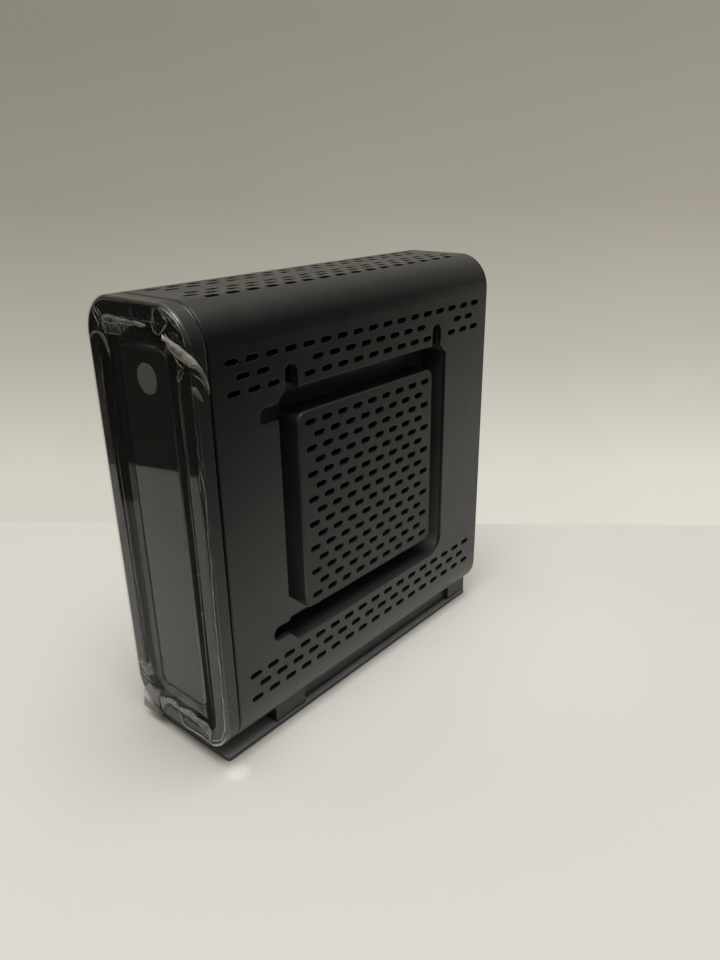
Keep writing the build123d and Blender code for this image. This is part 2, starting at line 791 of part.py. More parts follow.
with BuildPart() as tuner_shield_lid:
    with BuildSketch(yz(lid_x)):
        with Locations(tuner_at):
            Rectangle(frame_y + 2 * lid_lap, frame_z + 2 * lid_lap)
    extrude(amount=3.0)
    with BuildSketch(yz(lid_x - 0.1)):
        with Locations(tuner_at):
            Rectangle(frame_y + 2 * lid_clear, frame_z + 2 * lid_clear)
    extrude(amount=2.75, mode=Mode.SUBTRACT)
    with BuildSketch(yz(lid_x + 2.5)):
        with Locations(tuner_at):
            with GridLocations(3.6, 4.2, 3, 4):
                Circle(0.7)
    extrude(amount=1, mode=Mode.SUBTRACT)
save("tuner_shield_lid", tuner_shield_lid.part)

# ============================ network jack =================================
# RJ45 jack lying on the board: folded metal shell, plastic insert, contacts.
jack_front = 47.4
jack_size_x, jack_size_z, jack_skin = 13.4, 16.0, 0.3
insert_gap = 0.05
contact_pitch, contact_t = 1.02, 0.36
# Contact seen from above (X, Y): a bar along the insert with a sprung leaf.
contact_outline = [
    (-4.6, 50.3), (-4.6, 61.6), (-4.3, 61.6), (-3.3, 54.0),
    (-3.55, 53.9), (-4.28, 58.5), (-4.28, 50.3),
]


def jack_outline(inset):
    with Locations(jack_at):
        Rectangle(jack_size_x - 2 * inset, jack_size_z - 2 * inset)


with BuildPart() as ethernet_jack_shell:
    with BuildSketch(xz(jack_front)):
        jack_outline(0)
    extrude(amount=-16.2)
    with BuildSketch(xz(jack_front + jack_skin)):
        jack_outline(jack_skin)
    extrude(amount=-17, mode=Mode.SUBTRACT)
save("ethernet_jack_shell", ethernet_jack_shell.part)

with BuildPart() as ethernet_jack_insert:
    with BuildSketch(xz(jack_front + jack_skin + insert_gap)):
        jack_outline(jack_skin + insert_gap)
    extrude(amount=-15.6)
    # plug cavity with the stepped notch for the latch
    with BuildSketch(xz(50.2)):
        for x, size_x, size_z in ((-0.8, 7.8, 12.0), (3.6, 1.4, 6.4), (4.2, 1.2, 3.6)):
            with Locations((x, jack_z)):
                Rectangle(size_x, size_z)
    extrude(amount=-16, mode=Mode.SUBTRACT)
save("ethernet_jack_insert", ethernet_jack_insert.part)

with BuildPart() as ethernet_contacts:
    for i in range(8):
        with BuildSketch(xy(jack_z + contact_pitch * (i - 3.5) - contact_t / 2)):
            with BuildLine():
                Polyline(*contact_outline, close=True)
            make_face()
        extrude(amount=contact_t)
save("ethernet_contacts", ethernet_contacts.part)

# ============================== coax port ==================================
# F-type port: cast body, barrel through the panel, washer and nut.
coax_box_right = 4.7     # X of the cast body's right face
coax_size_z = 12
barrel_y, barrel_r, bore_r = 61.6, 4.75, 3.3
nut_y, nut_depth = 64.6, 2.4

with BuildPart() as coax_body:
    with BuildSketch(xz(47.5)):
        with Locations(((pcb_x1 + coax_box_right) / 2, coax_at[1])):
            Rectangle(coax_box_right - pcb_x1, coax_size_z)
    extrude(amount=-11.5)
    with BuildSketch(xz(58.9)):
        circles(6.6, coax_at)
    extrude(amount=-2.8)
    with BuildSketch(xz(barrel_y)):
        circles(barrel_r, coax_at)
    extrude(amount=-(y_coax_end - barrel_y))
    with BuildSketch(xz(56.0)):
        circles(bore_r, coax_at)
    extrude(amount=-20, mode=Mode.SUBTRACT)
    end_circles = coax_body.edges().filter_by(GeomType.CIRCLE).group_by(Axis.Y)[-1]
    chamfer(end_circles.sort_by(SortBy.RADIUS)[-1], 0.4)
    # relief groove round the barrel, just behind the nut
    with BuildSketch(xz(nut_y + nut_depth)):
        circles(5.2, coax_at)
        circles(4.35, coax_at, mode=Mode.SUBTRACT)
    extrude(amount=-0.6, mode=Mode.SUBTRACT)
save("coax_body", coax_body.part)

save("coax_washer", ring(63.85, coax_at, 7.0, 4.85, 0.7))

with BuildPart() as coax_nut:
    with BuildSketch(xz(nut_y)):
        with Locations(coax_at):
            RegularPolygon(6.35, 6, major_radius=False)
            Circle(4.82, mode=Mode.SUBTRACT)
    extrude(amount=-nut_depth)
save("coax_nut", coax_nut.part)

save("coax_insulator", ring(56.2, coax_at, 3.2, 0.95, y_coax_end - 56.9))

with BuildPart() as coax_contact:
    with BuildSketch(xz(56.4)):
        circles(0.85, coax_at)
    extrude(amount=-(y_coax_end - 57.4))
    with BuildSketch(xz(64.0)):
        circles(0.5, coax_at)
    extrude(amount=-12, mode=Mode.SUBTRACT)
save("coax_contact", coax_contact.part)

# ============================== power jack =================================
# Barrel jack: housing, centre pin, side spring.
dc_front, dc_depth = 49.6, 14.0
dc_floor = 52.0          # Y where the round cavity starts
pin_y, pin_root = 49.2, 3.4

with BuildPart() as dc_jack_body:
    with BuildSketch(xz(dc_front)):
        with Locations(dc_at):
            Rectangle(11.0, 9.0)
    extrude(amount=-dc_depth)
    fillet(dc_jack_body.edges().filter_by(Axis.Y), 0.5)
    with BuildSketch(xz(dc_floor)):
        circles(3.15, dc_at)
    extrude(amount=-14, mode=Mode.SUBTRACT)
    with BuildSketch(xz(49.0)):
        circles(1.25, dc_at)
    extrude(amount=-4, mode=Mode.SUBTRACT)
save("dc_jack_body", dc_jack_body.part)

# A thicker root through the jack's floor, then the free pin.
with BuildPart() as dc_jack_pin:
    with BuildSketch(xz(pin_y)):
        circles(1.2, dc_at)
    extrude(amount=-pin_root)
    with BuildSketch(xz(pin_y + pin_root)):
        circles(1.0, dc_at)
    extrude(amount=-9.6)
    fillet(dc_jack_pin.edges().filter_by(GeomType.CIRCLE).sort_by(Axis.Y)[-1], 0.5)
save("dc_jack_pin", dc_jack_pin.part)

with BuildPart() as dc_jack_spring:
    with BuildSketch(xz(dc_floor + 0.1)):
        with Locations((dc_x - 2.7, dc_z)):
            Rectangle(0.3, 2.0)
    extrude(amount=-9)
save("dc_jack_spring", dc_jack_spring.part)

# ============================ reset switch =================================
# A small switch behind a pin hole.  Its plunger is kept in by a flange inside
# the case and slides towards the front when pressed.
flange_r, flange_gap = 2.44, 0.06
plunger_r, plunger_gap = 1.72, 0.06

with BuildPart() as reset_switch_body:
    with BuildSketch(xz(52.0)):
        with Locations((reset_x - 0.1, reset_z)):
            Rectangle(6.2, 6.2)
    extrude(amount=-4.6)
    with BuildSketch(xz(53.2)):
        circles(flange_r + flange_gap, reset_at)
    extrude(amount=-1.9, mode=Mode.SUBTRACT)
    with BuildSketch(xz(54.0)):
        circles(plunger_r + plunger_gap, reset_at)
    extrude(amount=-4, mode=Mode.SUBTRACT)
save("reset_switch_body", reset_switch_body.part)

with BuildPart() as reset_button:
    with BuildSketch(xz(54.25)):
        circles(flange_r, reset_at)
    extrude(amount=-0.8)
    with BuildSketch(xz(55.0)):
        circles(plunger_r, reset_at)
    extrude(amount=-5.2)
    fillet(reset_button.edges().filter_by(GeomType.CIRCLE).sort_by(Axis.Y)[-1], 0.3)
save("reset_button", reset_button.part)
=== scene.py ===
"""A slim cable modem standing upright on a low stand, its front still in crinkled clear film.

The width lies along X, the front faces -Y with +X on its right, the sockets face +Y and +Z is
up, with the table at Z = 0. Names ending in _mm, and meshes before they are built, are in
millimetres. The scene and the shader coordinates are in metres.
"""
import bpy
import bmesh
import math
from mathutils import Vector, Matrix, noise


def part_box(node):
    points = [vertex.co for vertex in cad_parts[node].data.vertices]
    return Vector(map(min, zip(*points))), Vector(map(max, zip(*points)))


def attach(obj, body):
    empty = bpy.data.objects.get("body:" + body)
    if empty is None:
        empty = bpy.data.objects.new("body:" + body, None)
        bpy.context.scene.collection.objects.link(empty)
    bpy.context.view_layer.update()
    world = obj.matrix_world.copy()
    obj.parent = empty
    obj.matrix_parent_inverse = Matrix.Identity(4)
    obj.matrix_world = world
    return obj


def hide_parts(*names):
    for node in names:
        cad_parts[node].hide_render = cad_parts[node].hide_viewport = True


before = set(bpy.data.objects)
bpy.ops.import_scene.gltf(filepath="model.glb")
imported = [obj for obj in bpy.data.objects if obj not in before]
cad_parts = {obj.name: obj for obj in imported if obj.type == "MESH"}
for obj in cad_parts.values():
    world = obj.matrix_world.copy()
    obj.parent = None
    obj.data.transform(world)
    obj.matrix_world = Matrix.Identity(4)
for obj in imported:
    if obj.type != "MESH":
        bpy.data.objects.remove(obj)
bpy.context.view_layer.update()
scene = bpy.context.scene
MM = 0.001


def box_mm(name):
    """Low and high corners of a CAD piece, mm."""
    return tuple(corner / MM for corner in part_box(name))


# Rounded outline of the bezel, mm
BEZEL_LO, BEZEL_HI = box_mm("front_bezel")
HALF_W = BEZEL_HI.x
MID_Z = (BEZEL_LO.z + BEZEL_HI.z) / 2
HALF_H = (BEZEL_HI.z - BEZEL_LO.z) / 2
FRONT_Y = BEZEL_LO.y
CORNER_R = 11.1
LENS_LO, LENS_HI = box_mm("front_lens")
LENS_R = 2.8


# ============================ node builders ===============================
class Nodes:
    """A small builder for the node tree of a material or a world."""

    def __init__(self, owner, output_kind):
        self.owner = owner
        owner.use_nodes = True
        self.tree = owner.node_tree
        self.tree.nodes.clear()
        self.out = self.node(output_kind)

    def feed(self, socket, value):
        """Link a socket to the input, or set its value. Colours are given without alpha."""
        if isinstance(value, bpy.types.NodeSocket):
            self.tree.links.new(value, socket)
        elif socket.type == "RGBA":
            socket.default_value = (*value, 1)
        else:
            socket.default_value = value

    def node(self, kind, inputs=None, **settings):
        made = self.tree.nodes.new(kind)
        for key, value in settings.items():
            setattr(made, key, value)
        for key, value in (inputs or {}).items():
            if value is not None:
                self.feed(made.inputs[key], value)
        return made

    def math(self, operation, first, second=None, clamp=False):
        return self.node("ShaderNodeMath", {0: first, 1: second},
                         operation=operation, use_clamp=clamp).outputs[0]

    def mul(self, first, *others):
        for other in others:
            first = self.math("MULTIPLY", first, other)
        return first

    def add(self, first, second):
        return self.math("ADD", first, second)

    def sub(self, first, second):
        return self.math("SUBTRACT", first, second)

    def max(self, first, second):
        return self.math("MAXIMUM", first, second)

    def abs(self, value):
        return self.math("ABSOLUTE", value)

    def invert(self, value):
        return self.sub(1.0, value)

    def xyz(self, vector):
        parts = self.node("ShaderNodeSeparateXYZ", {0: vector}).outputs
        return parts["X"], parts["Y"], parts["Z"]

    def scaled(self, vector, factor):
        return self.node("ShaderNodeVectorMath", {0: vector, "Scale": factor},
                         operation="SCALE").outputs[0]

    def distance(self, place, point):
        return self.node("ShaderNodeVectorMath", {0: place, 1: point},
                         operation="DISTANCE").outputs["Value"]

    def ramp(self, factor, stops):
        """Colour ramp with at least two stops of (position, colour)."""
        made = self.node("ShaderNodeValToRGB", {"Fac": factor})
        elements = made.color_ramp.elements
        for i, (position, color) in enumerate(stops):
            element = elements[i] if i < 2 else elements.new(position)
            element.position = position
            element.color = (*color, 1)
        return made.outputs["Color"]

    def remap(self, value, over, to=(0.0, 1.0), smooth=False):
        """Map the range 'over' on to the range 'to', held at its ends."""
        return self.node("ShaderNodeMapRange", {
            "Value": value, "From Min": over[0], "From Max": over[1],
            "To Min": to[0], "To Max": to[1],
        }, interpolation_type="SMOOTHSTEP" if smooth else "LINEAR").outputs["Result"]

    def mix_color(self, factor, first, second):
        return self.node("ShaderNodeMix", {}, data_type="RGBA") and self._mix(factor, first, second)

    def mix_color(self, factor, first, second):
        made = self.node("ShaderNodeMix", data_type="RGBA")
        for index, value in ((0, factor), (6, first), (7, second)):
            self.feed(made.inputs[index], value)
        return made.outputs[2]

    def done(self, shader):
        self.feed(self.out.inputs["Surface"], shader)
        return self.owner


class Mat(Nodes):
    """A material, with object coordinates in metres."""

    def __init__(self, name):
        super().__init__(bpy.data.materials.new(name), "ShaderNodeOutputMaterial")
        self.place = self.node("ShaderNodeTexCoord").outputs["Object"]

    def true_normal(self):
        return self.node("ShaderNodeNewGeometry").outputs["True Normal"]

    def noise(self, scale, detail=2.0, rough=0.5, stretch=None):
        place = self.place
        if stretch:
            place = self.node("ShaderNodeMapping",
                              {"Vector": place, "Scale": stretch}).outputs["Vector"]
        return self.node("ShaderNodeTexNoise", {
            "Vector": place, "Scale": scale, "Detail": detail, "Roughness": rough,
        }).outputs["Fac"]

    def drift(self, pattern, dark, light):
        """Tone that wanders between two colours with a noise."""
        return self.ramp(self.remap(pattern, over=(0.3, 0.7)), [(0.0, dark), (1.0, light)])

    def bump(self, height, strength, distance, normal=None):
        return self.node("ShaderNodeBump", {
            "Height": height, "Strength": strength, "Distance": distance, "Normal": normal,
        }).outputs["Normal"]

    def bevel(self, radius):
        return self.node("ShaderNodeBevel", {"Radius": radius}, samples=4).outputs["Normal"]

    def mix_shader(self, factor, first, second):
        return self.node("ShaderNodeMixShader", {0: factor, 1: first, 2: second}).outputs[0]

    def surface(self, color, rough, normal, **extra):
        """Finish as a principled surface. Extra inputs have _ for a space."""
        inputs = {"Base Color": color, "Roughness": rough, "Normal": normal}
        inputs.update((key.replace("_", " "), value) for key, value in extra.items())
        return self.done(self.node("ShaderNodeBsdfPrincipled", inputs).outputs["BSDF"])


def rounded_box(mat, x, z, half_x, half_z, mid_z, radius):
    """Signed distance, mm, outside a rounded rectangle in the XZ plane."""
    height = mat.sub(mat.mul(z, 1000.0), mid_z)

    def past_x():
        return mat.sub(mat.mul(mat.abs(x), 1000.0), half_x - radius)

    def past_z():
        return mat.sub(mat.abs(height), half_z - radius)

    out_x = mat.max(past_x(), 0.0)
    out_z = mat.max(past_z(), 0.0)
    outside = mat.math("SQRT", mat.add(mat.mul(out_x, out_x), mat.mul(out_z, out_z)))
    in_x = mat.math("MINIMUM", past_x(), 0.0)
    in_z = mat.math("MINIMUM", past_z(), 0.0)
    return mat.sub(mat.add(outside, mat.max(in_x, in_z)), radius)


def bezel_outline(mat, x, z):
    return rounded_box(mat, x, z, HALF_W, HALF_H, MID_Z, CORNER_R)


# ============================== materials =================================
def moulded(name, dark, light, rough, grain, depth, bevel=0.00022, spec=0.5, trim=None):
    """Moulded plastic: spark-eroded grain, slow tone drift, softened edges.

    trim may change the tone and the specular level from place to place, painted light and shade
    among them."""
    mat = Mat(name)
    tone = mat.drift(mat.noise(scale=28.0, detail=3.0, rough=0.6), dark, light)
    if trim:
        tone, spec = trim(mat, tone, spec)
    fine = mat.noise(scale=grain, detail=3.0, rough=0.65)
    grit = mat.noise(scale=grain * 0.37)
    height = mat.add(mat.mul(fine, 0.65), mat.mul(grit, 0.35))
    gloss = mat.remap(mat.noise(scale=90.0, detail=4.0, rough=0.6), over=(0.25, 0.75),
                      to=(rough - 0.05, rough + 0.05))
    normal = mat.bump(height, strength=0.5, distance=depth,
                      normal=mat.bevel(bevel) if bevel else None)
    return mat.surface(tone, gloss, normal, Specular_IOR_Level=spec)


def shell_trim(mat, tone, spec):
    """Painted light: paler tone inside the slots and the moat and on faces that look up, and a
    painted table reflection on the skirt.
    """
    # tones of painted light in the hollows and on upward faces, and of the painted table reflection
    # low on the sides
    inner = (0.034, 0.0345, 0.034)
    table_reflection_tone = (0.044, 0.044, 0.043)
    x, _, z = mat.xyz(mat.place)
    normal_x, _, normal_z = mat.xyz(mat.true_normal())
    across = mat.abs(x)
    deep = mat.remap(bezel_outline(mat, x, z), over=(-1.2, -0.5), to=(1.0, 0.0), smooth=True)
    # the broad outer faces are not deep
    broad = mat.mul(mat.remap(mat.abs(normal_x), over=(0.85, 0.95)),
                    mat.remap(across, over=(0.0195, 0.0200)))
    deep = mat.mul(deep, mat.invert(broad))
    upward = mat.remap(normal_z, over=(0.55, 0.95), to=(0.0, 0.85), smooth=True)
    # painted light: the deep tone is brighter low down, less so on upward faces
    lift = mat.remap(z, over=(0.035, 0.075), to=(3.5, 1.5))
    lift = mat.mul(lift, mat.invert(mat.mul(upward, 0.85)))
    # painted light: upward faces take the paler tone
    tone = mat.mix_color(upward, tone, inner)
    tone = mat.mix_color(deep, tone, mat.scaled(inner, lift))
    # painted reflection of the table: the sides are paler low down
    skirt = mat.mul(mat.remap(z, over=(0.0250, 0.0125), smooth=True), mat.invert(deep))
    tone = mat.mix_color(skirt, tone, table_reflection_tone)
    # less specular on deep upward faces and on the recessed part of the broad faces
    spec = mat.sub(spec, mat.mul(deep, upward, 0.40))
    recessed = mat.mul(broad, mat.remap(across, over=(0.0211, 0.0214), to=(1.0, 0.0)))
    return tone, mat.sub(spec, mat.mul(recessed, 0.22))


def metal(name, color, rough, scale, stretch=(1, 1, 1), metallic=1.0, tarnish=None):
    """Metal with fine lines in its gloss and slow stains."""
    mat = Mat(name)
    lines = mat.noise(scale=scale, detail=3.0, rough=0.6, stretch=stretch)
    stain = mat.noise(scale=220.0, detail=4.0, rough=0.6)
    stained = tarnish or tuple(part * 0.72 for part in color)
    tone = mat.mix_color(mat.remap(stain, over=(0.35, 0.75)), color, stained)
    gloss = mat.remap(lines, over=(0.2, 0.8), to=(rough * 0.7, rough * 1.35))
    normal = mat.bump(lines, strength=0.35, distance=0.00001, normal=mat.bevel(0.0001))
    return mat.surface(tone, gloss, normal, Metallic=metallic)


def stand_material():
    """Satin feet on a duller sole plate, whose top is painted pale as light in the shade under the
    body.
    """
    mat = Mat("stand_plastic")
    _, _, z = mat.xyz(mat.place)
    _, _, normal_z = mat.xyz(mat.true_normal())
    plate = mat.remap(z, over=(0.00150, 0.00156), to=(1.0, 0.0))
    slow = mat.noise(scale=40.0, detail=3.0, rough=0.6)
    foot = mat.drift(slow, dark=(0.018, 0.0182, 0.018), light=(0.024, 0.0242, 0.024))
    sole_edge = mat.drift(slow, dark=(0.040, 0.040, 0.041), light=(0.055, 0.055, 0.056))
    # painted light: the top of the sole is far paler than its edges, standing in for light under
    # the body
    sole_top_painted_light = mat.drift(slow, dark=(0.390, 0.392, 0.402), light=(0.450, 0.452, 0.462))
    sole = mat.mix_color(mat.remap(normal_z, over=(0.6, 0.9)), sole_edge, sole_top_painted_light)
    fine = mat.noise(scale=2800.0, detail=3.0, rough=0.65)
    normal = mat.bump(fine, strength=0.5, distance=0.00003, normal=mat.bevel(0.0003))
    gloss = mat.remap(slow, over=(0.25, 0.75), to=(0.40, 0.50))
    return mat.surface(mat.mix_color(plate, foot, sole), gloss, normal, Specular_IOR_Level=0.6)


def gloss_black(name, base, rough, wave, spec, dirt, trim):
    """Piano-gloss moulding: faint flow waves, fine hairline haze and dust specks.

    trim changes the tone, roughness and specular level from place to place, painted light and shade
    among them."""
    mat = Mat(name)
    flow = mat.noise(scale=34.0, stretch=(1.0, 1.0, 0.35))
    hair = mat.noise(scale=1500.0, stretch=(1.0, 1.0, 0.06))
    dust = mat.remap(mat.noise(scale=2600.0, detail=1.0), over=(0.74, 0.80))
    gloss = mat.add(mat.remap(hair, over=(0.3, 0.8), to=(rough, rough * 1.8)),
                    mat.mul(dust, dirt))
    tone = mat.mix_color(mat.mul(dust, 2.0 * dirt), base, (0.09, 0.088, 0.084))
    normal = mat.bump(flow, strength=0.35, distance=wave, normal=mat.bevel(0.00018))
    tone, gloss, spec = trim(mat, tone, gloss, spec)
    return mat.surface(tone, gloss, normal, Specular_IOR_Level=spec)


def bezel_trim(mat, tone, rough, spec):
    """Polished front; satin outer edge like the shells, painted paler on its upward faces; matt
    channel on the lens's right, painted dark as shade; painted highlight on the lip and painted
    light on the left inner wall.
    """
    x, y, z = mat.xyz(mat.place)
    _, _, normal_z = mat.xyz(mat.true_normal())
    sunk = mat.remap(y, over=((FRONT_Y + 0.5) * MM, (FRONT_Y + 0.8) * MM))
    shaded_channel = mat.mul(mat.remap(x, over=(0.0099, 0.0101)), mat.remap(x, over=(0.0166, 0.0164)))
    shaded_channel = mat.mul(shaded_channel, sunk)
    outer = mat.remap(bezel_outline(mat, x, z), over=(-0.9, -0.4), smooth=True)
    upward = mat.remap(normal_z, over=(0.5, 0.95), smooth=True)
    # painted shade: the channel on the lens's right is dark
    tone = mat.mix_color(shaded_channel, tone, (0.0030, 0.0030, 0.0030))
    tone = mat.mix_color(outer, tone, (0.0150, 0.0152, 0.0150))
    # painted light: the upward faces of the outer edge are paler
    tone = mat.mix_color(mat.mul(outer, upward), tone, (0.034, 0.0335, 0.032))
    rough = mat.add(rough, mat.mul(shaded_channel, 0.45))
    rough = mat.max(rough, mat.mul(outer, 0.34))
    left_channel = mat.mul(sunk, mat.remap(x, over=(-0.0090, -0.0100)))
    # painted highlight along the narrow lip at the right of the channel, stronger low down
    lip_highlight = mat.mul(mat.remap(x, over=(0.01635, 0.01650)), mat.remap(x, over=(0.01700, 0.01680)))
    lip_highlight = mat.mul(lip_highlight, mat.invert(sunk), mat.remap(z, over=(0.115, 0.060), to=(0.25, 0.9)))
    tone = mat.mix_color(lip_highlight, tone, (0.070, 0.070, 0.067))
    # specular: nearly none in the right channel, 0.32 in the left, 0.66 on the outer edge
    level = mat.add(mat.sub(spec, mat.mul(shaded_channel, spec * 0.92)),
                    mat.mul(left_channel, 0.32 - spec))
    # painted light on the left inner wall of the recess
    painted_light_cove = mat.mul(sunk, mat.remap(x, over=(-0.0150, -0.0156)), mat.invert(outer))
    tone = mat.mix_color(painted_light_cove, tone, (0.024, 0.024, 0.0235))
    return tone, rough, mat.max(level, mat.mul(outer, 0.66))


def lens_trim(mat, tone, rough, spec):
    """The polished edge of the window is painted pale as a highlight, stronger towards the table.
    """
    x, _, z = mat.xyz(mat.place)
    gap = rounded_box(mat, x, z, LENS_HI.x, (LENS_HI.z - LENS_LO.z) / 2,
                      (LENS_HI.z + LENS_LO.z) / 2, LENS_R)
    edge = mat.remap(gap, over=(-0.46, -0.36))
    edge_highlight_tone = mat.ramp(mat.remap(z, over=(0.016, 0.12)), [
        (0.0, (0.300, 0.295, 0.280)), (0.55, (0.210, 0.206, 0.196)),
        (0.75, (0.060, 0.060, 0.058)), (1.0, (0.022, 0.022, 0.022))])
    return mat.mix_color(edge, tone, edge_highlight_tone), mat.add(rough, mat.mul(edge, 0.3)), spec


def badge_material():
    mat = Mat("badge_satin")
    fine = mat.noise(scale=2400.0)
    tone = mat.drift(mat.noise(scale=300.0, detail=3.0),
                     dark=(0.175, 0.175, 0.171), light=(0.215, 0.215, 0.210))
    return mat.surface(tone, mat.remap(fine, over=(0.3, 0.7), to=(0.28, 0.42)),
                       mat.bump(fine, strength=0.2, distance=0.000008), Metallic=0.35)


def label_material():
    mat = Mat("label_paper")
    fibre = mat.noise(scale=2600.0, detail=4.0, rough=0.7)
    tone = mat.drift(mat.noise(scale=60.0, detail=3.0),
                     dark=(0.42, 0.42, 0.41), light=(0.50, 0.50, 0.49))
    return mat.surface(tone, mat.remap(fibre, over=(0.3, 0.7), to=(0.42, 0.6)),
                       mat.bump(fibre, strength=0.3, distance=0.00001))


def board_material():
    """Dark green solder mask with a brick pattern on the board's plane."""
    mat = Mat("solder_mask")
    turned = mat.node("ShaderNodeMapping",
                      {"Vector": mat.place, "Rotation": (0, math.radians(90), 0)})
    brick = mat.node("ShaderNodeTexBrick", {
        "Vector": turned.outputs["Vector"], "Scale": 150.0,
        "Mortar Size": 0.035, "Mortar Smooth": 0.3,
        "Color1": (0.016, 0.026, 0.021), "Color2": (0.018, 0.030, 0.024),
        "Mortar": (0.035, 0.055, 0.045)}, offset=0.37, squash=1.0)
    normal = mat.bump(brick.outputs["Fac"], strength=0.3, distance=0.00004,
                      normal=mat.bevel(0.0001))
    return mat.surface(brick.outputs["Color"], 0.32, normal)


def translucent(name, color, scale, detail, rough_range, **extra):
    """Light-passing plastic with a faintly wavy surface."""
    mat = Mat(name)
    waves = mat.noise(scale=scale, detail=detail)
    return mat.surface(color, mat.remap(waves, over=(0.3, 0.7), to=rough_range),
                       mat.bump(waves, strength=0.2, distance=0.00002 if detail < 3 else 0.00003),
                       **extra)


MATS = {
    "shell": moulded("shell_plastic", dark=(0.0036, 0.0039, 0.0040),
                     light=(0.0050, 0.0053, 0.0053), rough=0.36, grain=3600.0,
                     depth=0.000020, bevel=0.00025, spec=0.72, trim=shell_trim),
    "stand": stand_material(),
    "panel": moulded("rear_panel_plastic", dark=(0.011, 0.0113, 0.0117),
                     light=(0.016, 0.0163, 0.0167), rough=0.5, grain=2400.0,
                     depth=0.00003, bevel=0.0002, spec=0.4),
    "bezel": gloss_black("bezel_gloss", base=(0.0120, 0.0120, 0.0118), rough=0.03,
                         wave=0.00002, spec=0.67, dirt=0.012, trim=bezel_trim),
    "lens": gloss_black("lens_smoked", base=(0.0185, 0.0178, 0.0166), rough=0.022,
                        wave=0.000004, spec=0.75, dirt=0.015, trim=lens_trim),
    "badge": badge_material(),
    "rubber": moulded("foot_rubber", dark=(0.012, 0.012, 0.012), light=(0.022, 0.022, 0.021),
                      rough=0.8, grain=2200.0, depth=0.00005, spec=0.3),
    "chip": moulded("chip_epoxy", dark=(0.012, 0.012, 0.013), light=(0.02, 0.02, 0.021),
                    rough=0.62, grain=5200.0, depth=0.00003, bevel=0.00008),
    "jack_black": moulded("jack_plastic", dark=(0.010, 0.010, 0.011),
                          light=(0.015, 0.015, 0.016), rough=0.36, grain=3000.0,
                          depth=0.00002),
    "ferrite": moulded("ferrite", dark=(0.03, 0.031, 0.033), light=(0.055, 0.055, 0.058),
                       rough=0.7, grain=3800.0, depth=0.00005),
    "foam": moulded("foam_tape", dark=(0.012, 0.012, 0.012), light=(0.03, 0.03, 0.03),
                    rough=0.95, grain=1500.0, depth=0.0002, spec=0.1),
    "white_plastic": moulded("nylon_white", dark=(0.62, 0.61, 0.57), light=(0.72, 0.71, 0.67),
                             rough=0.45, grain=2600.0, depth=0.00002),
    "button": moulded("button_red", dark=(0.42, 0.035, 0.028), light=(0.52, 0.05, 0.04),
                      rough=0.4, grain=2600.0, depth=0.00002),
    "thermal": moulded("thermal_pad", dark=(0.22, 0.23, 0.25), light=(0.33, 0.34, 0.36),
                       rough=0.85, grain=1400.0, depth=0.00006),
    "adhesive": moulded("adhesive_sheet", dark=(0.34, 0.33, 0.30), light=(0.44, 0.43, 0.39),
                        rough=0.7, grain=1800.0, depth=0.00003, bevel=0),
    "steel": metal("zinc_steel", color=(0.56, 0.57, 0.58), rough=0.32, scale=1800.0),
    "tin": metal("tinplate", color=(0.62, 0.62, 0.61), rough=0.24, scale=2600.0,
                 stretch=(1, 1, 0.12)),
    "alu": metal("black_anodised", color=(0.30, 0.31, 0.32), rough=0.38, scale=1800.0,
                 stretch=(1, 0.05, 1), tarnish=(0.22, 0.225, 0.23)),
    "gold": metal("gold_contact", color=(0.83, 0.58, 0.24), rough=0.2, scale=2600.0),
    "nickel": metal("nickel_plate", color=(0.64, 0.62, 0.58), rough=0.2, scale=1500.0),
    "copper": metal("passives", color=(0.45, 0.33, 0.20), rough=0.45, scale=900.0,
                    metallic=0.3),
    "label": label_material(),
    "pcb": board_material(),
    "clear": translucent("clear_guide", (0.88, 0.9, 0.9), scale=260.0, detail=3.0,
                         rough_range=(0.08, 0.2), Transmission_Weight=0.85, IOR=1.49),
    "lamp": translucent("lamp_body", (0.75, 0.76, 0.74), scale=800.0, detail=2.0,
                        rough_range=(0.15, 0.3), Transmission_Weight=0.3,
                        Subsurface_Weight=0.2),
}

# CAD pieces by material
PIECES = {
    "shell": "right_shell left_shell",
    "panel": "rear_panel",
    "stand": "base_stand",
    "bezel": "front_bezel",
    "lens": "front_lens",
    "adhesive": "lens_adhesive",
    "badge": "badge_disc",
    "clear": "protective_film light_pipe",
    "lamp": "led_lamps",
    "foam": "light_block",
    "rubber": "foot_pads",
    "steel": "stand_screws case_screws pcb_screws",
    "label": "rating_label",
    "pcb": "main_pcb",
    "chip": "soc_chip memory_chips flash_chip support_chips electrolytic_capacitors "
            "tuner_chip ethernet_transformer",
    "thermal": "thermal_pad",
    "alu": "heatsink",
    "white_plastic": "heatsink_pins coax_insulator",
    "nickel": "crystal coax_body coax_washer coax_nut dc_jack_pin dc_jack_spring",
    "ferrite": "power_inductors",
    "copper": "smd_passives",
    "tin": "tuner_shield_frame tuner_shield_lid",
    "jack_black": "ethernet_jack_shell ethernet_jack_insert dc_jack_body reset_switch_body",
    "gold": "ethernet_contacts coax_contact",
    "button": "reset_button",
}
for key, names in PIECES.items():
    for name in names.split():
        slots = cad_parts[name].data.materials
        slots.clear()
        slots.append(MATS[key])


# ============================ protective film =============================
# The clear shipping film still wraps the bezel. Its flat part clings and is
# almost unseen; gathers, curled cuts and folds catch the light, drawn as a white
# whose strength is partly the film's milkiness and partly painted highlight.
FILM_GAP = 0.13         # film off the bezel, mm
FILM_THICK = 0.05
FILM_Y = FRONT_Y - FILM_GAP
ROUND_R = 0.55          # radius of the bezel's front edge under the film
LENS_FILM_Y = box_mm("badge_disc")[0].y - 0.09   # the film clears the badge
FACE_POINTS = 66        # points from the middle of the face to its rim


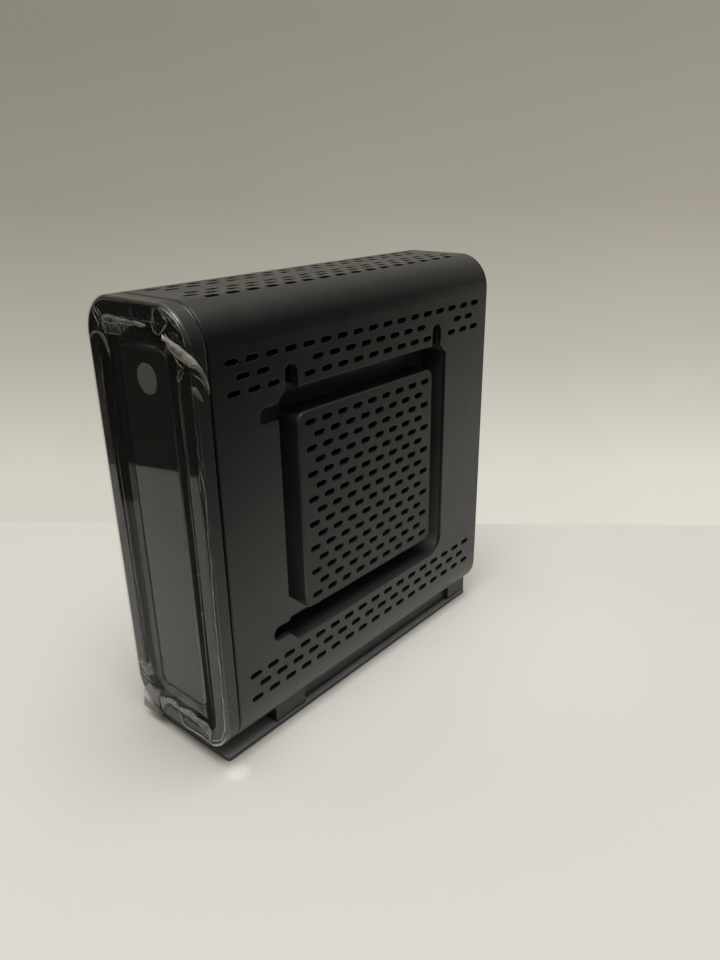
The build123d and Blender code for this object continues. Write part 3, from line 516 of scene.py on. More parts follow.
def spline(points, count):
    """count points along a Catmull-Rom curve through the given ones."""
    knots = [Vector(point) for point in points]
    ends = [2 * knots[0] - knots[1]] + knots + [2 * knots[-1] - knots[-2]]
    lengths = [(knots[i + 1] - knots[i]).length for i in range(len(knots) - 1)]
    total = sum(lengths)
    curve = []
    for k in range(count):
        left = total * k / (count - 1)
        i = 0
        while i < len(lengths) - 1 and left > lengths[i]:
            left -= lengths[i]
            i += 1
        u = min(1.0, left / lengths[i])
        p0, p1, p2, p3 = ends[i:i + 4]
        curve.append(0.5 * ((2 * p1) + (p2 - p0) * u + (2 * p0 - 5 * p1 + 4 * p2 - p3) * u * u
                            + (3 * p1 - p0 - 3 * p2 + p3) * u ** 3))
    return curve


class Sheet:
    """Collects grids of film in one mesh, in millimetres, with a whiteness per point:
    partly the film's own milkiness, partly painted highlight.

    The whiteness is a number, or a function of u down the rows and v along them, each 0 to 1."""

    def __init__(self):
        self.points, self.faces, self.milk_and_highlight = [], [], []

    def grid(self, rows, milk_and_highlight, close=False):
        base = len(self.points)
        row_count, width = len(rows), len(rows[0])
        for i, row in enumerate(rows):
            for j, point in enumerate(row):
                self.points.append(tuple(point))
                self.milk_and_highlight.append(milk_and_highlight(i / (row_count - 1), j / (width - 1))
                                 if callable(milk_and_highlight) else milk_and_highlight)
        for i in range(row_count if close else row_count - 1):
            for j in range(width - 1):
                here = base + i * width + j
                after = base + ((i + 1) % row_count) * width + j
                self.faces.append((here, after, after + 1, here + 1))

    def build(self, name):
        mesh = bpy.data.meshes.new(name)
        mesh.from_pydata([(x * MM, y * MM, z * MM) for x, y, z in self.points], [], self.faces)
        mesh.attributes.new("milk_and_highlight", "FLOAT", "POINT").data.foreach_set("value", self.milk_and_highlight)
        bm = bmesh.new()
        bm.from_mesh(mesh)
        bmesh.ops.remove_doubles(bm, verts=bm.verts, dist=2e-7)   # closes the rolls
        bm.to_mesh(mesh)
        bm.free()
        for face in mesh.polygons:
            face.use_smooth = True
        mesh.update()
        made = bpy.data.objects.new(name, mesh)
        scene.collection.objects.link(made)
        solid = made.modifiers.new("thickness", "SOLIDIFY")
        solid.thickness = FILM_THICK * MM
        solid.offset = 0.0
        solid.use_even_offset = False
        return made


def clamp01(value):
    return min(1.0, max(0.0, value))


def peak(value, at, width):
    """Bell curve of height 1."""
    return math.exp(-((value - at) / width) ** 2)


def outward(point):
    """Direction off the bezel at a point, in the front or round its edge."""
    x, y, z = point
    forward = Vector((0, -1, 0))
    if y <= FRONT_Y + 0.05:
        return forward
    past_x, past_z = abs(x) - (HALF_W - CORNER_R), abs(z - MID_Z) - (HALF_H - CORNER_R)
    side = Vector((math.copysign(max(past_x, 0.0), x), 0,
                   math.copysign(max(past_z, 0.0), z - MID_Z)))
    if side.length < 1e-6:
        side = Vector((math.copysign(1.0, x), 0, 0))
    side.normalize()
    weight = min(1.0, (y - FRONT_Y) / 1.2)
    return (side * weight + forward * (1 - weight)).normalized()


def ribbon(sheet, start, end, milk_and_highlight, lift, seed=0.0, nu=30, nv=9, wobble=0.12, base=0.12,
           skew=0.0):
    """A fold between two curves: it leaves the face along start, bulges, returns along end."""
    starts, ends = spline(start, nu), spline(end, nu)
    rows = []
    for i in range(nu):
        row = []
        for j in range(nv):
            v = j / (nv - 1)
            point = starts[i].lerp(ends[i], v)
            taper = min(1.0, 6 * min(i, nu - 1 - i) / nu + 0.25)
            height = base + lift * math.sin(math.pi * v ** (1.0 + skew)) ** 0.8 * taper
            height += wobble * noise.noise(Vector((point.x * 0.9 + seed, point.z * 0.9, v * 1.7)))
            row.append(point + outward(point) * height)
        rows.append(row)
    sheet.grid(rows, milk_and_highlight)


def bead(sheet, path, radius, milk_and_highlight, seed, ragged=0.35, base=0.1, count=None, sides=7):
    """A rolled cut edge or a tight crease: a thin, uneven roll of film."""
    length = sum((Vector(path[i + 1]) - Vector(path[i])).length for i in range(len(path) - 1))
    count = count or max(8, int(length / 0.55))
    points = spline(path, count)
    rows = []
    for i, point in enumerate(points):
        along = (points[min(i + 1, count - 1)] - points[max(i - 1, 0)]).normalized()
        side = along.cross(outward(point)).normalized()
        off = side.cross(along).normalized()
        taper = min(1.0, 3.0 * min(i, count - 1 - i) / count + 0.15)
        swell = noise.noise(Vector((point.x * 1.3 + seed, point.y, point.z * 1.3)))
        sway = noise.noise(Vector((point.x * 0.7 - seed, point.y + 9.0, point.z * 2.1)))
        r = radius * taper * (1.0 + ragged * swell * 1.6)
        centre = point + off * (base + r * 0.7) + side * (radius * ragged * 1.4 * sway)
        rows.append([centre + side * (math.cos(k * 2 * math.pi / sides) * r * 1.25)
                     + off * (math.sin(k * 2 * math.pi / sides) * r * 0.8)
                     for k in range(sides + 1)])
    sheet.grid(rows, milk_and_highlight)


def outline():
    """(x, z, outward x, outward z) round the bezel, anticlockwise seen from the front."""
    arc_x, arc_z = HALF_W - CORNER_R, HALF_H - CORNER_R
    # corner centre, angle where its arc starts
    arcs = [((arc_x, MID_Z - arc_z), -90), ((arc_x, MID_Z + arc_z), 0),
            ((-arc_x, MID_Z + arc_z), 90), ((-arc_x, MID_Z - arc_z), 180)]
    points = []
    for k, ((x, z), start) in enumerate(arcs):
        for i in range(25):
            angle = math.radians(start + 90 * i / 24)
            out_x, out_z = math.cos(angle), math.sin(angle)
            points.append((x + CORNER_R * out_x, z + CORNER_R * out_z, out_x, out_z))
        # straight run to the next corner, in steps of about 0.9 mm
        next_x, next_z = arcs[(k + 1) % 4][0]
        angle = math.radians(start + 90)
        out_x, out_z = math.cos(angle), math.sin(angle)
        from_x, from_z = points[-1][:2]
        to_x, to_z = next_x + CORNER_R * out_x, next_z + CORNER_R * out_z
        steps = int(math.hypot(to_x - from_x, to_z - from_z) / 0.9)
        for i in range(1, steps):
            t = i / steps
            points.append((from_x + (to_x - from_x) * t, from_z + (to_z - from_z) * t,
                           out_x, out_z))
    return points


def wrap_depth(x, z):
    """How far back along the bezel's side the cut edge of the film lies, mm."""
    ragged = (noise.noise(Vector((x * 0.5, 3.1, z * 0.5))) * 0.5
              + noise.noise(Vector((x * 1.7, 8.1, z * 1.7))) * 0.22)
    right = 0.5 + 0.3 * ragged
    left = 2.2 + 1.2 * ragged
    side = left + (right - left) * clamp01((x + 6.0) / 20.0)
    top = 0.45 + 0.3 * ragged
    low = 2.6 + 0.9 * ragged
    top_share = clamp01((z - 127.0) / 6.0)
    low_share = clamp01((13.0 - z) / 6.0)
    return max(0.35, side * (1 - top_share - low_share) + top * top_share + low * low_share)


def box_distance(x, z, half_x, low_z, high_z, radius):
    """Signed distance outside a rounded rectangle in XZ."""
    past_x = abs(x) - (half_x - radius)
    past_z = abs(z - (low_z + high_z) / 2) - ((high_z - low_z) / 2 - radius)
    return (math.hypot(max(past_x, 0.0), max(past_z, 0.0))
            + min(max(past_x, past_z), 0.0) - radius)


def drape(x, z):
    """Y of the film at a point of the front: on the lens, up the channel, then on the rim."""
    rim = 5.0
    off_lens = box_distance(x, z, LENS_HI.x, LENS_LO.z, LENS_HI.z, LENS_R)
    to_rim = -box_distance(x, z, HALF_W - rim, BEZEL_LO.z + rim, BEZEL_HI.z - rim, 6.4)
    if off_lens <= 0:
        return LENS_FILM_Y
    if to_rim <= 0:
        return FILM_Y
    return LENS_FILM_Y + (FILM_Y - LENS_FILM_Y) * (off_lens / (off_lens + to_rim))


def wrap_row(x, z, out_x, out_z):
    """One row of film from the middle of the face over the rim to the cut edge."""
    middle_z = min(max(z, MID_Z - HALF_H + HALF_W), MID_Z + HALF_H - HALF_W)
    inner = Vector((0.0, 0.0, middle_z))
    rim = Vector((x - out_x * ROUND_R, 0.0, z - out_z * ROUND_R))
    row = []
    for k in range(FACE_POINTS):
        p = inner.lerp(rim, k / (FACE_POINTS - 1.0))
        wave = 0.012 * noise.noise(Vector((p.x * 0.10, 1.0, p.z * 0.06)))
        row.append(Vector((p.x, drape(p.x, p.z) + wave, p.z)))
    reach = ROUND_R + FILM_GAP
    for k in range(1, 6):
        angle = math.radians(90 * k / 5)
        row.append(Vector((rim.x + out_x * reach * math.sin(angle),
                           FRONT_Y + ROUND_R - reach * math.cos(angle),
                           rim.z + out_z * reach * math.sin(angle))))
    depth = wrap_depth(x, z)
    gather = 0.0   # the film stands off at the top left corner
    if z > 110:
        gather = 0.9 * math.exp(-((x + 21.0) ** 2 + (z - 129.0) ** 2) / 40.0)
    for k in range(1, 5):
        t = k / 4.0
        ripple = 0.12 * noise.noise(Vector((x * 0.8, 2.0 + t, z * 0.8)))
        out = FILM_GAP + (gather + ripple) * t
        row.append(Vector((x + out_x * out, FRONT_Y + ROUND_R + depth * t, z + out_z * out)))
    return row


def on_front(points):
    """Lay (x, z) points on the flat film."""
    return [(x, FILM_Y, z) for x, z in points]


def frill(u, v):
    """Whiteness of the two long frills along the bottom: milk and painted highlight."""
    return 0.30 - 0.12 * v + 0.06 * math.sin(31 * u)


# Folds on the front: start curve (x, z), end curve (x, z), whiteness (milk and painted highlight),
# lift
FOLDS = [
    ([(-13.2, 128.4), (-11.0, 129.7), (-6.0, 129.7), (-1.6, 129.6), (2.2, 129.0)],
     [(-13.0, 128.2), (-9.7, 127.4), (-4.6, 128.0), (-0.1, 128.2), (2.5, 128.6)],
     lambda u, v: (0.05 + 0.20 * peak(v, 0.08, 0.08)
                   + 0.24 * math.exp(-((u - 0.62) / 0.17) ** 2 - ((v - 0.45) / 0.3) ** 2)
                   + 0.10 * peak(u, 0.22, 0.07)), 0.5),
    ([(1.0, 129.6), (3.6, 129.5), (6.4, 129.1)],
     [(2.4, 128.6), (4.1, 128.2), (6.1, 128.7)], 0.24, 0.4),
    ([(-13.3, 127.9), (-9.7, 127.4), (-4.6, 127.9), (0.7, 128.3)],
     [(-12.2, 124.9), (-9.4, 125.0), (-5.2, 125.3), (-3.0, 127.0)],
     lambda u, v: 0.045 + 0.03 * v, 0.15),
    ([(9.6, 133.6), (9.0, 130.6), (8.8, 129.1), (9.6, 127.7), (11.0, 127.2)],
     [(12.4, 133.6), (13.4, 132.3), (15.0, 130.7), (13.8, 129.2), (11.3, 127.3)],
     lambda u, v: 0.006 + 0.02 * u * u, 0.4),
    ([(12.7, 134.1), (14.9, 133.5), (16.8, 132.6), (18.5, 131.5), (19.8, 129.9), (20.4, 128.5)],
     [(13.6, 132.8), (15.3, 131.6), (17.0, 130.5), (18.7, 129.3), (19.7, 128.8), (20.3, 128.4)],
     lambda u, v: (0.03 + (0.42 * peak(v, 0.04, 0.14) + 0.40 * peak(v, 0.96, 0.16))
                   * (0.35 + 0.65 * math.sin(math.pi * min(1.0, u * 1.05)))), 0.4),
    ([(-19.6, 123.2), (-18.3, 124.5), (-16.2, 125.1), (-13.4, 124.7), (-11.9, 123.1),
      (-11.2, 121.1), (-11.1, 119.1)],
     [(-19.4, 122.9), (-17.8, 124.0), (-16.2, 124.5), (-14.4, 123.8), (-13.1, 122.4),
      (-12.0, 120.4), (-11.3, 119.1)],
     lambda u, v: 0.05 + 0.16 * u * (1.0 - 0.5 * v), 0.35),
    ([(-19.0, 21.6), (-17.3, 22.8), (-15.6, 22.8), (-15.1, 22.4)],
     [(-19.3, 20.3), (-18.4, 20.6), (-17.2, 21.0), (-16.1, 21.4)],
     lambda u, v: 0.08 + 0.2 * abs(v - 0.4), 0.5),
    ([(-18.8, 19.9), (-15.4, 21.5), (-12.4, 24.3)],
     [(-15.8, 17.1), (-13.9, 18.1), (-12.0, 19.5)], lambda u, v: 0.05 + 0.02 * u, 0.3),
    ([(-15.3, 14.5), (-17.5, 12.0), (-19.4, 9.4)],
     [(-9.5, 14.2), (-11.0, 11.1), (-11.3, 7.1)], lambda u, v: 0.17 + 0.12 * abs(v - 0.5), 0.5),
    ([(-19.6, 9.0), (-16.0, 8.1), (-11.5, 7.0), (-9.9, 5.7)],
     [(-20.4, 3.4), (-17.9, 3.1), (-14.5, 3.4), (-11.8, 3.0)], 0.06, 0.25),
    ([(-10.3, 11.8), (-7.3, 12.9), (-4.4, 13.9), (-2.2, 13.9), (-0.9, 12.6)],
     [(-9.6, 6.9), (-7.9, 9.6), (-5.7, 11.5), (-3.4, 11.9), (-1.1, 11.3)], frill, 0.7),
    ([(-0.7, 12.6), (3.1, 13.9), (6.1, 14.2), (8.1, 13.5), (10.2, 13.8), (12.7, 13.8),
      (14.1, 12.7), (14.6, 10.7), (13.8, 8.6)],
     [(-0.4, 11.7), (2.2, 11.6), (5.3, 11.8), (7.3, 11.4), (9.3, 10.5), (11.3, 10.3),
      (12.9, 10.0), (13.4, 9.3), (13.0, 8.3)], frill, 0.7),
]

# Rolls and creases on the front: path (x, z), radius, whiteness (milk and painted highlight)
BEADS = [
    ([(10.5, 134.3), (9.6, 132.6), (9.0, 130.6), (8.8, 129.1), (9.6, 127.7), (11.1, 127.2)],
     0.12, lambda u, v: 0.06 + 0.32 * u ** 3),
    ([(12.6, 133.7), (13.5, 132.3), (15.1, 130.7), (14.1, 129.5), (12.7, 128.3), (11.3, 127.2)],
     0.14, lambda u, v: 0.20 + 0.26 * u),
    ([(20.4, 128.4), (20.7, 127.2), (21.0, 125.7)], 0.10, 0.25),
    ([(19.1, 120.6), (17.6, 119.1), (16.8, 117.9), (17.2, 116.9), (18.4, 118.3), (19.4, 119.7)],
     0.11, 0.30),
    ([(16.1, 123.3), (17.7, 121.4), (19.5, 120.4)], 0.12, 0.35),
    ([(-16.1, 131.6), (-15.0, 130.3), (-13.5, 128.9)], 0.12, 0.22),
    ([(-14.5, 131.3), (-13.4, 130.1), (-12.6, 129.3)], 0.10, 0.16),
    ([(-16.8, 130.6), (-15.9, 128.9), (-14.0, 126.3)], 0.12, 0.18),
    ([(-16.2, 118.5), (-16.0, 115.8), (-16.3, 112.8), (-16.6, 109.6), (-16.3, 107.0)],
     0.08, 0.14),
    ([(0.55, 133.1), (0.5, 131.9), (1.0, 130.2)], 0.07, 0.10),
    ([(-19.5, 17.3), (-16.9, 16.6), (-15.1, 16.1), (-13.4, 15.4)], 0.10, 0.36),
    ([(-15.3, 14.5), (-17.5, 12.0), (-19.6, 9.3), (-16.0, 8.3), (-11.4, 7.1)], 0.10, 0.45),
    ([(-10.3, 11.8), (-10.1, 9.2), (-9.4, 6.6)], 0.10, 0.40),
    ([(-1.3, 12.3), (-0.5, 9.7), (0.1, 7.7), (1.7, 6.7), (4.8, 6.8), (9.1, 7.2), (12.3, 6.7),
      (14.0, 6.7)], 0.14, 0.50),
    ([(21.3, 14.4), (19.8, 10.9), (17.0, 8.2), (14.0, 6.8), (12.7, 7.9)], 0.22, 0.62),
    ([(21.4, 27.5), (21.4, 23.8), (21.3, 20.0), (21.2, 16.8), (20.3, 14.1), (19.0, 11.3),
      (16.9, 9.8), (14.6, 8.4), (13.6, 8.5), (14.0, 11.3)], 0.15, 0.42),
    ([(-16.3, 92.0), (-16.4, 80.0), (-16.2, 66.0), (-16.3, 52.0), (-16.5, 38.0), (-16.5, 25.0)],
     0.07, lambda u, v: 0.10 + 0.12 * u),
    ([(-14.6, 97.0), (-14.5, 86.0), (-14.3, 74.0), (-14.5, 60.0), (-14.2, 46.0), (-14.4, 30.0)],
     0.09, lambda u, v: 0.16 + 0.20 * u),
    ([(16.5, 119.0), (16.6, 111.0), (16.7, 104.0), (16.6, 96.0)],
     0.07, lambda u, v: 0.22 * math.sin(math.pi * u)),
    ([(16.6, 97.0), (16.4, 84.0), (16.6, 70.0), (16.3, 52.0), (16.0, 38.0), (15.9, 30.0),
      (16.4, 20.0), (16.2, 14.5)],
     0.08, lambda u, v: 0.16 + 0.16 * math.sin(math.pi * min(1.0, u * 1.1))),
]

# Cut edge down the right side of the bezel (x, y, z)
RIGHT_EDGE = [
    (21.84, -68.9, 118.8), (21.8, -69.0, 114.4), (21.85, -68.85, 111.0), (21.85, -68.7, 108.9),
    (21.7, -69.05, 106.6), (21.86, -68.8, 105.1), (21.84, -68.8, 102.5), (21.7, -69.05, 99.9),
    (21.86, -68.4, 96.7), (21.85, -68.85, 95.2), (21.86, -68.45, 91.7), (21.85, -68.4, 89.0),
    (21.85, -68.35, 85.4), (21.85, -68.5, 81.9), (21.85, -68.7, 74.4), (21.86, -68.55, 70.6),
    (21.85, -68.75, 64.8), (21.8, -69.0, 55.9), (21.75, -69.05, 46.0), (21.6, -69.1, 41.7),
    (21.7, -69.1, 36.7), (21.55, -69.1, 32.2), (21.3, -69.1, 29.0), (21.6, -69.0, 26.8),
    (21.85, -68.9, 24.3), (21.85, -68.8, 21.2), (21.7, -69.05, 17.5), (21.2, -69.1, 14.0)]


def corner_curl(sheet):
    """The big cream curl that crosses the top right corner on to the side."""
    ribbon(sheet,
           [(13.9, FRONT_Y - 0.3, 128.1), (15.8, FRONT_Y - 0.6, 127.0),
            (20.0, FRONT_Y - 0.6, 125.5), (21.9, -68.2, 123.5), (21.95, -66.2, 120.7),
            (21.95, -65.1, 118.5), (21.9, -64.4, 115.9), (21.85, -64.2, 113.8)],
           [(14.2, FRONT_Y - 0.3, 126.0), (16.2, FRONT_Y - 0.3, 123.8),
            (19.1, FRONT_Y - 0.3, 122.3), (21.8, -68.8, 121.2), (21.85, -66.9, 119.8),
            (21.86, -65.9, 117.9), (21.86, -65.0, 115.8), (21.85, -64.4, 113.9)],
           lambda u, v: (0.31 + 0.09 * math.sin(7 * u + 9 * v) + 0.34 * peak(v, 0.12, 0.10)
                         - 0.14 * peak(v, 0.5, 0.1)),
           lift=0.9, nu=60, nv=14, wobble=0.18, base=0.15, skew=0.3)
    ribbon(sheet, [(21.85, -68.8, 116.3), (21.85, -67.7, 115.8), (21.86, -66.3, 112.8)],
           [(21.86, -68.7, 114.9), (21.86, -67.7, 113.6), (21.86, -66.6, 112.3)],
           0.22, lift=0.4, seed=4.0)
    bead(sheet, [(14.3, FRONT_Y - 0.9, 127.8), (15.2, FRONT_Y - 1.2, 127.2),
                 (16.2, FRONT_Y - 1.2, 126.6)], 0.36, 1.0, seed=1.0, base=0.4, count=12)


def side_rolls(sheet):
    """Rolled edges on the two sides and round the top right corner."""
    bead(sheet, RIGHT_EDGE, 0.10,
         lambda u, v: (0.08 + 0.34 * u * u
                       + 0.24 * max(0.0, math.sin(43 * u) * math.sin(17 * u + 1))),
         seed=2.0, ragged=0.8, base=-0.04, count=300)
    bead(sheet, [(21.7, -69.1, 96.7), (21.4, -69.1, 93.8), (21.4, -69.1, 90.5),
                 (21.8, -68.9, 87.9)], 0.08, 0.16, seed=5.0, base=-0.02)
    bead(sheet, [(21.86, -68.7, 119.5), (21.88, -66.3, 117.5), (21.86, -64.8, 114.7)],
         0.13, 0.35, seed=7.0, base=-0.05)
    seam_y, seam_gap = -63.95, 0.02
    arc_x, arc_z = HALF_W - CORNER_R, BEZEL_HI.z - CORNER_R
    seam = [(arc_x + (CORNER_R + seam_gap) * math.cos(math.radians(k)), seam_y,
             arc_z + (CORNER_R + seam_gap) * math.sin(math.radians(k)))
            for k in range(86, -1, -6)]
    seam += [(HALF_W + seam_gap, seam_y, arc_z - drop) for drop in (3, 7, 12, 17)]
    # painted highlight: the bright peak of whiteness near the top of the seam
    bead(sheet, seam, 0.07,
         lambda u, v: 0.025 + 1.0 * peak(u, 0.17, 0.055) + 0.07 * peak(u, 0.55, 0.15),
         seed=3.0, ragged=0.5, base=-0.02, count=90)
    left = [(-HALF_W - 0.12, FRONT_Y + 1.6, z)
            for z in (118.0, 100.0, 84.0, 66.0, 50.0, 34.0, 20.0)]
    bead(sheet, left, 0.16, 0.75, seed=21.0, ragged=0.3, base=0.0, count=120)


def film_material():
    """Clear film, unseen where it is taut, glossy on its folds and white where milky: partly the
    film's own milkiness, partly painted highlight.
    """
    mat = Mat("clear_film")
    milk_and_highlight = mat.node("ShaderNodeAttribute", attribute_name="milk_and_highlight").outputs["Fac"]
    fine = mat.noise(scale=900.0, detail=4.0, rough=0.6)
    broad = mat.noise(scale=140.0, detail=3.0, rough=0.6)
    streak = mat.noise(scale=420.0, detail=3.0, rough=0.6, stretch=(1.0, 1.0, 0.25))
    normal = mat.bump(mat.add(broad, mat.mul(streak, 0.4)), distance=0.0003,
                      strength=mat.remap(milk_and_highlight, over=(0.02, 0.15), to=(0.0, 0.35)))
    fresnel = mat.node("ShaderNodeFresnel", {"IOR": 1.48, "Normal": normal}).outputs[0]
    shine = mat.node("ShaderNodeBsdfGlossy", {"Roughness": 0.05, "Normal": normal}).outputs[0]
    geometry = mat.node("ShaderNodeNewGeometry").outputs
    x, _, z = mat.xyz(mat.place)
    _, normal_y, _ = mat.xyz(geometry["True Normal"])
    # no shine on taut flat film, nor on the slopes inside the right of the rim
    flat = mat.remap(mat.abs(normal_y), over=(0.975, 0.992))
    inside = mat.remap(bezel_outline(mat, x, z), over=(-4.6, -4.0), to=(1.0, 0.0))
    inside = mat.mul(inside, mat.remap(x, over=(0.0060, 0.0080)))
    taut = mat.mul(flat, mat.remap(milk_and_highlight, over=(0.012, 0.030), to=(1.0, 0.0)))
    shiny = mat.invert(mat.max(taut, mat.mul(inside, mat.invert(flat))))
    # painted shade: the film at the bottom left corner passes less light, as if in shadow
    flap_shade = mat.mul(mat.remap(z, over=(0.0085, 0.0060)), mat.remap(x, over=(-0.0090, -0.0130)))
    clear = mat.node("ShaderNodeBsdfTransparent", {
        "Color": mat.mix_color(flap_shade, (1.0, 1.0, 1.0), (0.52, 0.51, 0.49))}).outputs[0]
    # faint haze down the left side
    haze = mat.mul(mat.remap(x, over=(-0.0163, -0.0172)), mat.remap(z, over=(0.118, 0.108)),
                   mat.remap(milk_and_highlight, over=(0.010, 0.02), to=(0.045, 0.0)))
    # painted reflection of the warm wall: the white turns cream higher up
    warm_reflection = mat.remap(z, over=(0.040, 0.105))
    diffuse = mat.node("ShaderNodeBsdfDiffuse", {
        "Color": mat.mix_color(warm_reflection, (0.83, 0.835, 0.80), (0.80, 0.775, 0.68))}).outputs[0]
    glow = mat.node("ShaderNodeBsdfTranslucent", {"Color": (0.78, 0.75, 0.66)}).outputs[0]
    white = mat.mix_shader(0.35, diffuse, glow)
    edge = mat.math("MULTIPLY", fresnel, mat.invert(geometry["Backfacing"]), clamp=True)
    glossy = mat.mix_shader(mat.mul(edge, shiny), clear, shine)
    mottle = mat.remap(mat.add(fine, mat.mul(streak, 0.6)), over=(0.45, 1.15), to=(0.55, 1.1))
    amount = mat.add(mat.math("MULTIPLY", milk_and_highlight, mottle, clamp=True), haze)
    return mat.done(mat.mix_shader(amount, glossy, white))


def build_film():
    sheet = Sheet()
    sheet.grid([wrap_row(*station) for station in outline()], 0.010, close=True)
    for k, (start, end, milk_and_highlight, lift) in enumerate(FOLDS):
        ribbon(sheet, on_front(start), on_front(end), milk_and_highlight, lift=lift, seed=k * 3.7)
    corner_curl(sheet)
    for k, (path, radius, milk_and_highlight) in enumerate(BEADS):
        bead(sheet, on_front(path), radius, milk_and_highlight, seed=11.0 + k * 2.3)
    side_rolls(sheet)
    return sheet.build("crinkled_film")


film = build_film()
film.data.materials.append(film_material())
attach(film, "modem")
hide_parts("protective_film")

# ========================= threaded coax barrel ===========================
THREAD_PITCH = 0.794    # mm, as are all below
THREAD_DEPTH = 0.47
THREAD_R = 4.75
RELIEF_R = 4.35
BORE_R = 3.3
COLLAR_R = 6.6
BLOCK_HIGH_X = 4.7
BLOCK_LENGTH = 11.5
BLOCK_HALF_Z = 6


def lathe_thread(bm, mid_x, mid_z, profile, spans, sides=84):
    """Turned closed ring about Y with a helical thread cut between the given spans, mm.

    profile: y, radius, whether the thread is cut there"""
    rings = []
    for y, radius, cut in profile:
        ring = []
        for k in range(sides):
            angle = 2 * math.pi * k / sides
            r = radius
            if cut:
                turn = (y / THREAD_PITCH + k / sides) % 1.0
                groove = clamp01(1.35 * (1.0 - abs(2 * turn - 1)) - 0.12)
                fade = clamp01(min(min(y - low, high - y) / 0.35
                                   for low, high in spans if low <= y <= high))
                r = radius - THREAD_DEPTH * groove * fade
            ring.append(bm.verts.new(((mid_x + r * math.cos(angle)) * MM, y * MM,
                                      (mid_z + r * math.sin(angle)) * MM)))
        rings.append(ring)
    for i, ring in enumerate(rings):
        after = rings[(i + 1) % len(rings)]
        for k in range(sides):
            last = (k + 1) % sides
            bm.faces.new((ring[k], after[k], after[last], ring[last]))


def build_coax():
    """A block with a collar and a threaded barrel towards +Y, relieved behind the nut."""
    body_lo, body_hi = box_mm("coax_body")
    nut_lo, nut_hi = box_mm("coax_nut")
    mid_x, mid_z = (nut_lo.x + nut_hi.x) / 2, (nut_lo.z + nut_hi.z) / 2
    end, relief = body_hi.y, nut_hi.y
    block_end = body_lo.y + BLOCK_LENGTH
    bm = bmesh.new()
    for vert in bmesh.ops.create_cube(bm, size=1.0)["verts"]:
        x, y, z = vert.co
        vert.co = Vector(((body_lo.x if x < 0 else BLOCK_HIGH_X) * MM,
                          (body_lo.y if y < 0 else block_end) * MM,
                          (mid_z + (-BLOCK_HALF_Z if z < 0 else BLOCK_HALF_Z)) * MM))
    bmesh.ops.bevel(bm, geom=bm.edges[:], offset=0.5 * MM, segments=3, profile=0.6,
                    affect="EDGES")
    spans = [(block_end + 2.7, relief), (relief + 0.65, end - 0.35)]
    profile = [(block_end - 0.2, BORE_R, 0), (block_end - 0.2, COLLAR_R, 0),
               (block_end + 2.4, COLLAR_R, 0), (block_end + 2.7, 6.3, 0),
               (block_end + 2.7, THREAD_R, 0)]
    for low, high in spans:
        steps = int((high - low) / 0.1)
        profile += [(low + (high - low) * i / steps, THREAD_R, 1) for i in range(1, steps)]
        if high < end - 1:
            profile += [(high + 0.02, RELIEF_R, 0), (high + 0.6, RELIEF_R, 0)]
    profile += [(end - 0.3, 4.70, 0), (end, 4.40, 0), (end, BORE_R, 0)]
    lathe_thread(bm, mid_x, mid_z, profile, spans)
    bmesh.ops.recalc_face_normals(bm, faces=bm.faces)
    mesh = bpy.data.meshes.new("coax_threaded")
    bm.to_mesh(mesh)
    bm.free()
    made = bpy.data.objects.new("coax_threaded", mesh)
    scene.collection.objects.link(made)
    mesh.materials.append(MATS["nickel"])
    return made


coax = build_coax()
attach(coax, "modem")
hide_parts("coax_body")


# ================================ stage ===================================
def quad(name, points, material):
    mesh = bpy.data.meshes.new(name)
    mesh.from_pydata([tuple(point) for point in points], [], [(0, 1, 2, 3)])
    mesh.update()
    made = bpy.data.objects.new(name, mesh)
    scene.collection.objects.link(made)
    mesh.materials.append(material)
    return made


def one_sided(mat, geometry, clear, keep, shader):
    """Show the shader on the front only, and clear where keep is 0."""
    front = mat.mix_shader(keep, clear, shader)
    return mat.done(mat.mix_shader(geometry["Backfacing"], front, clear))


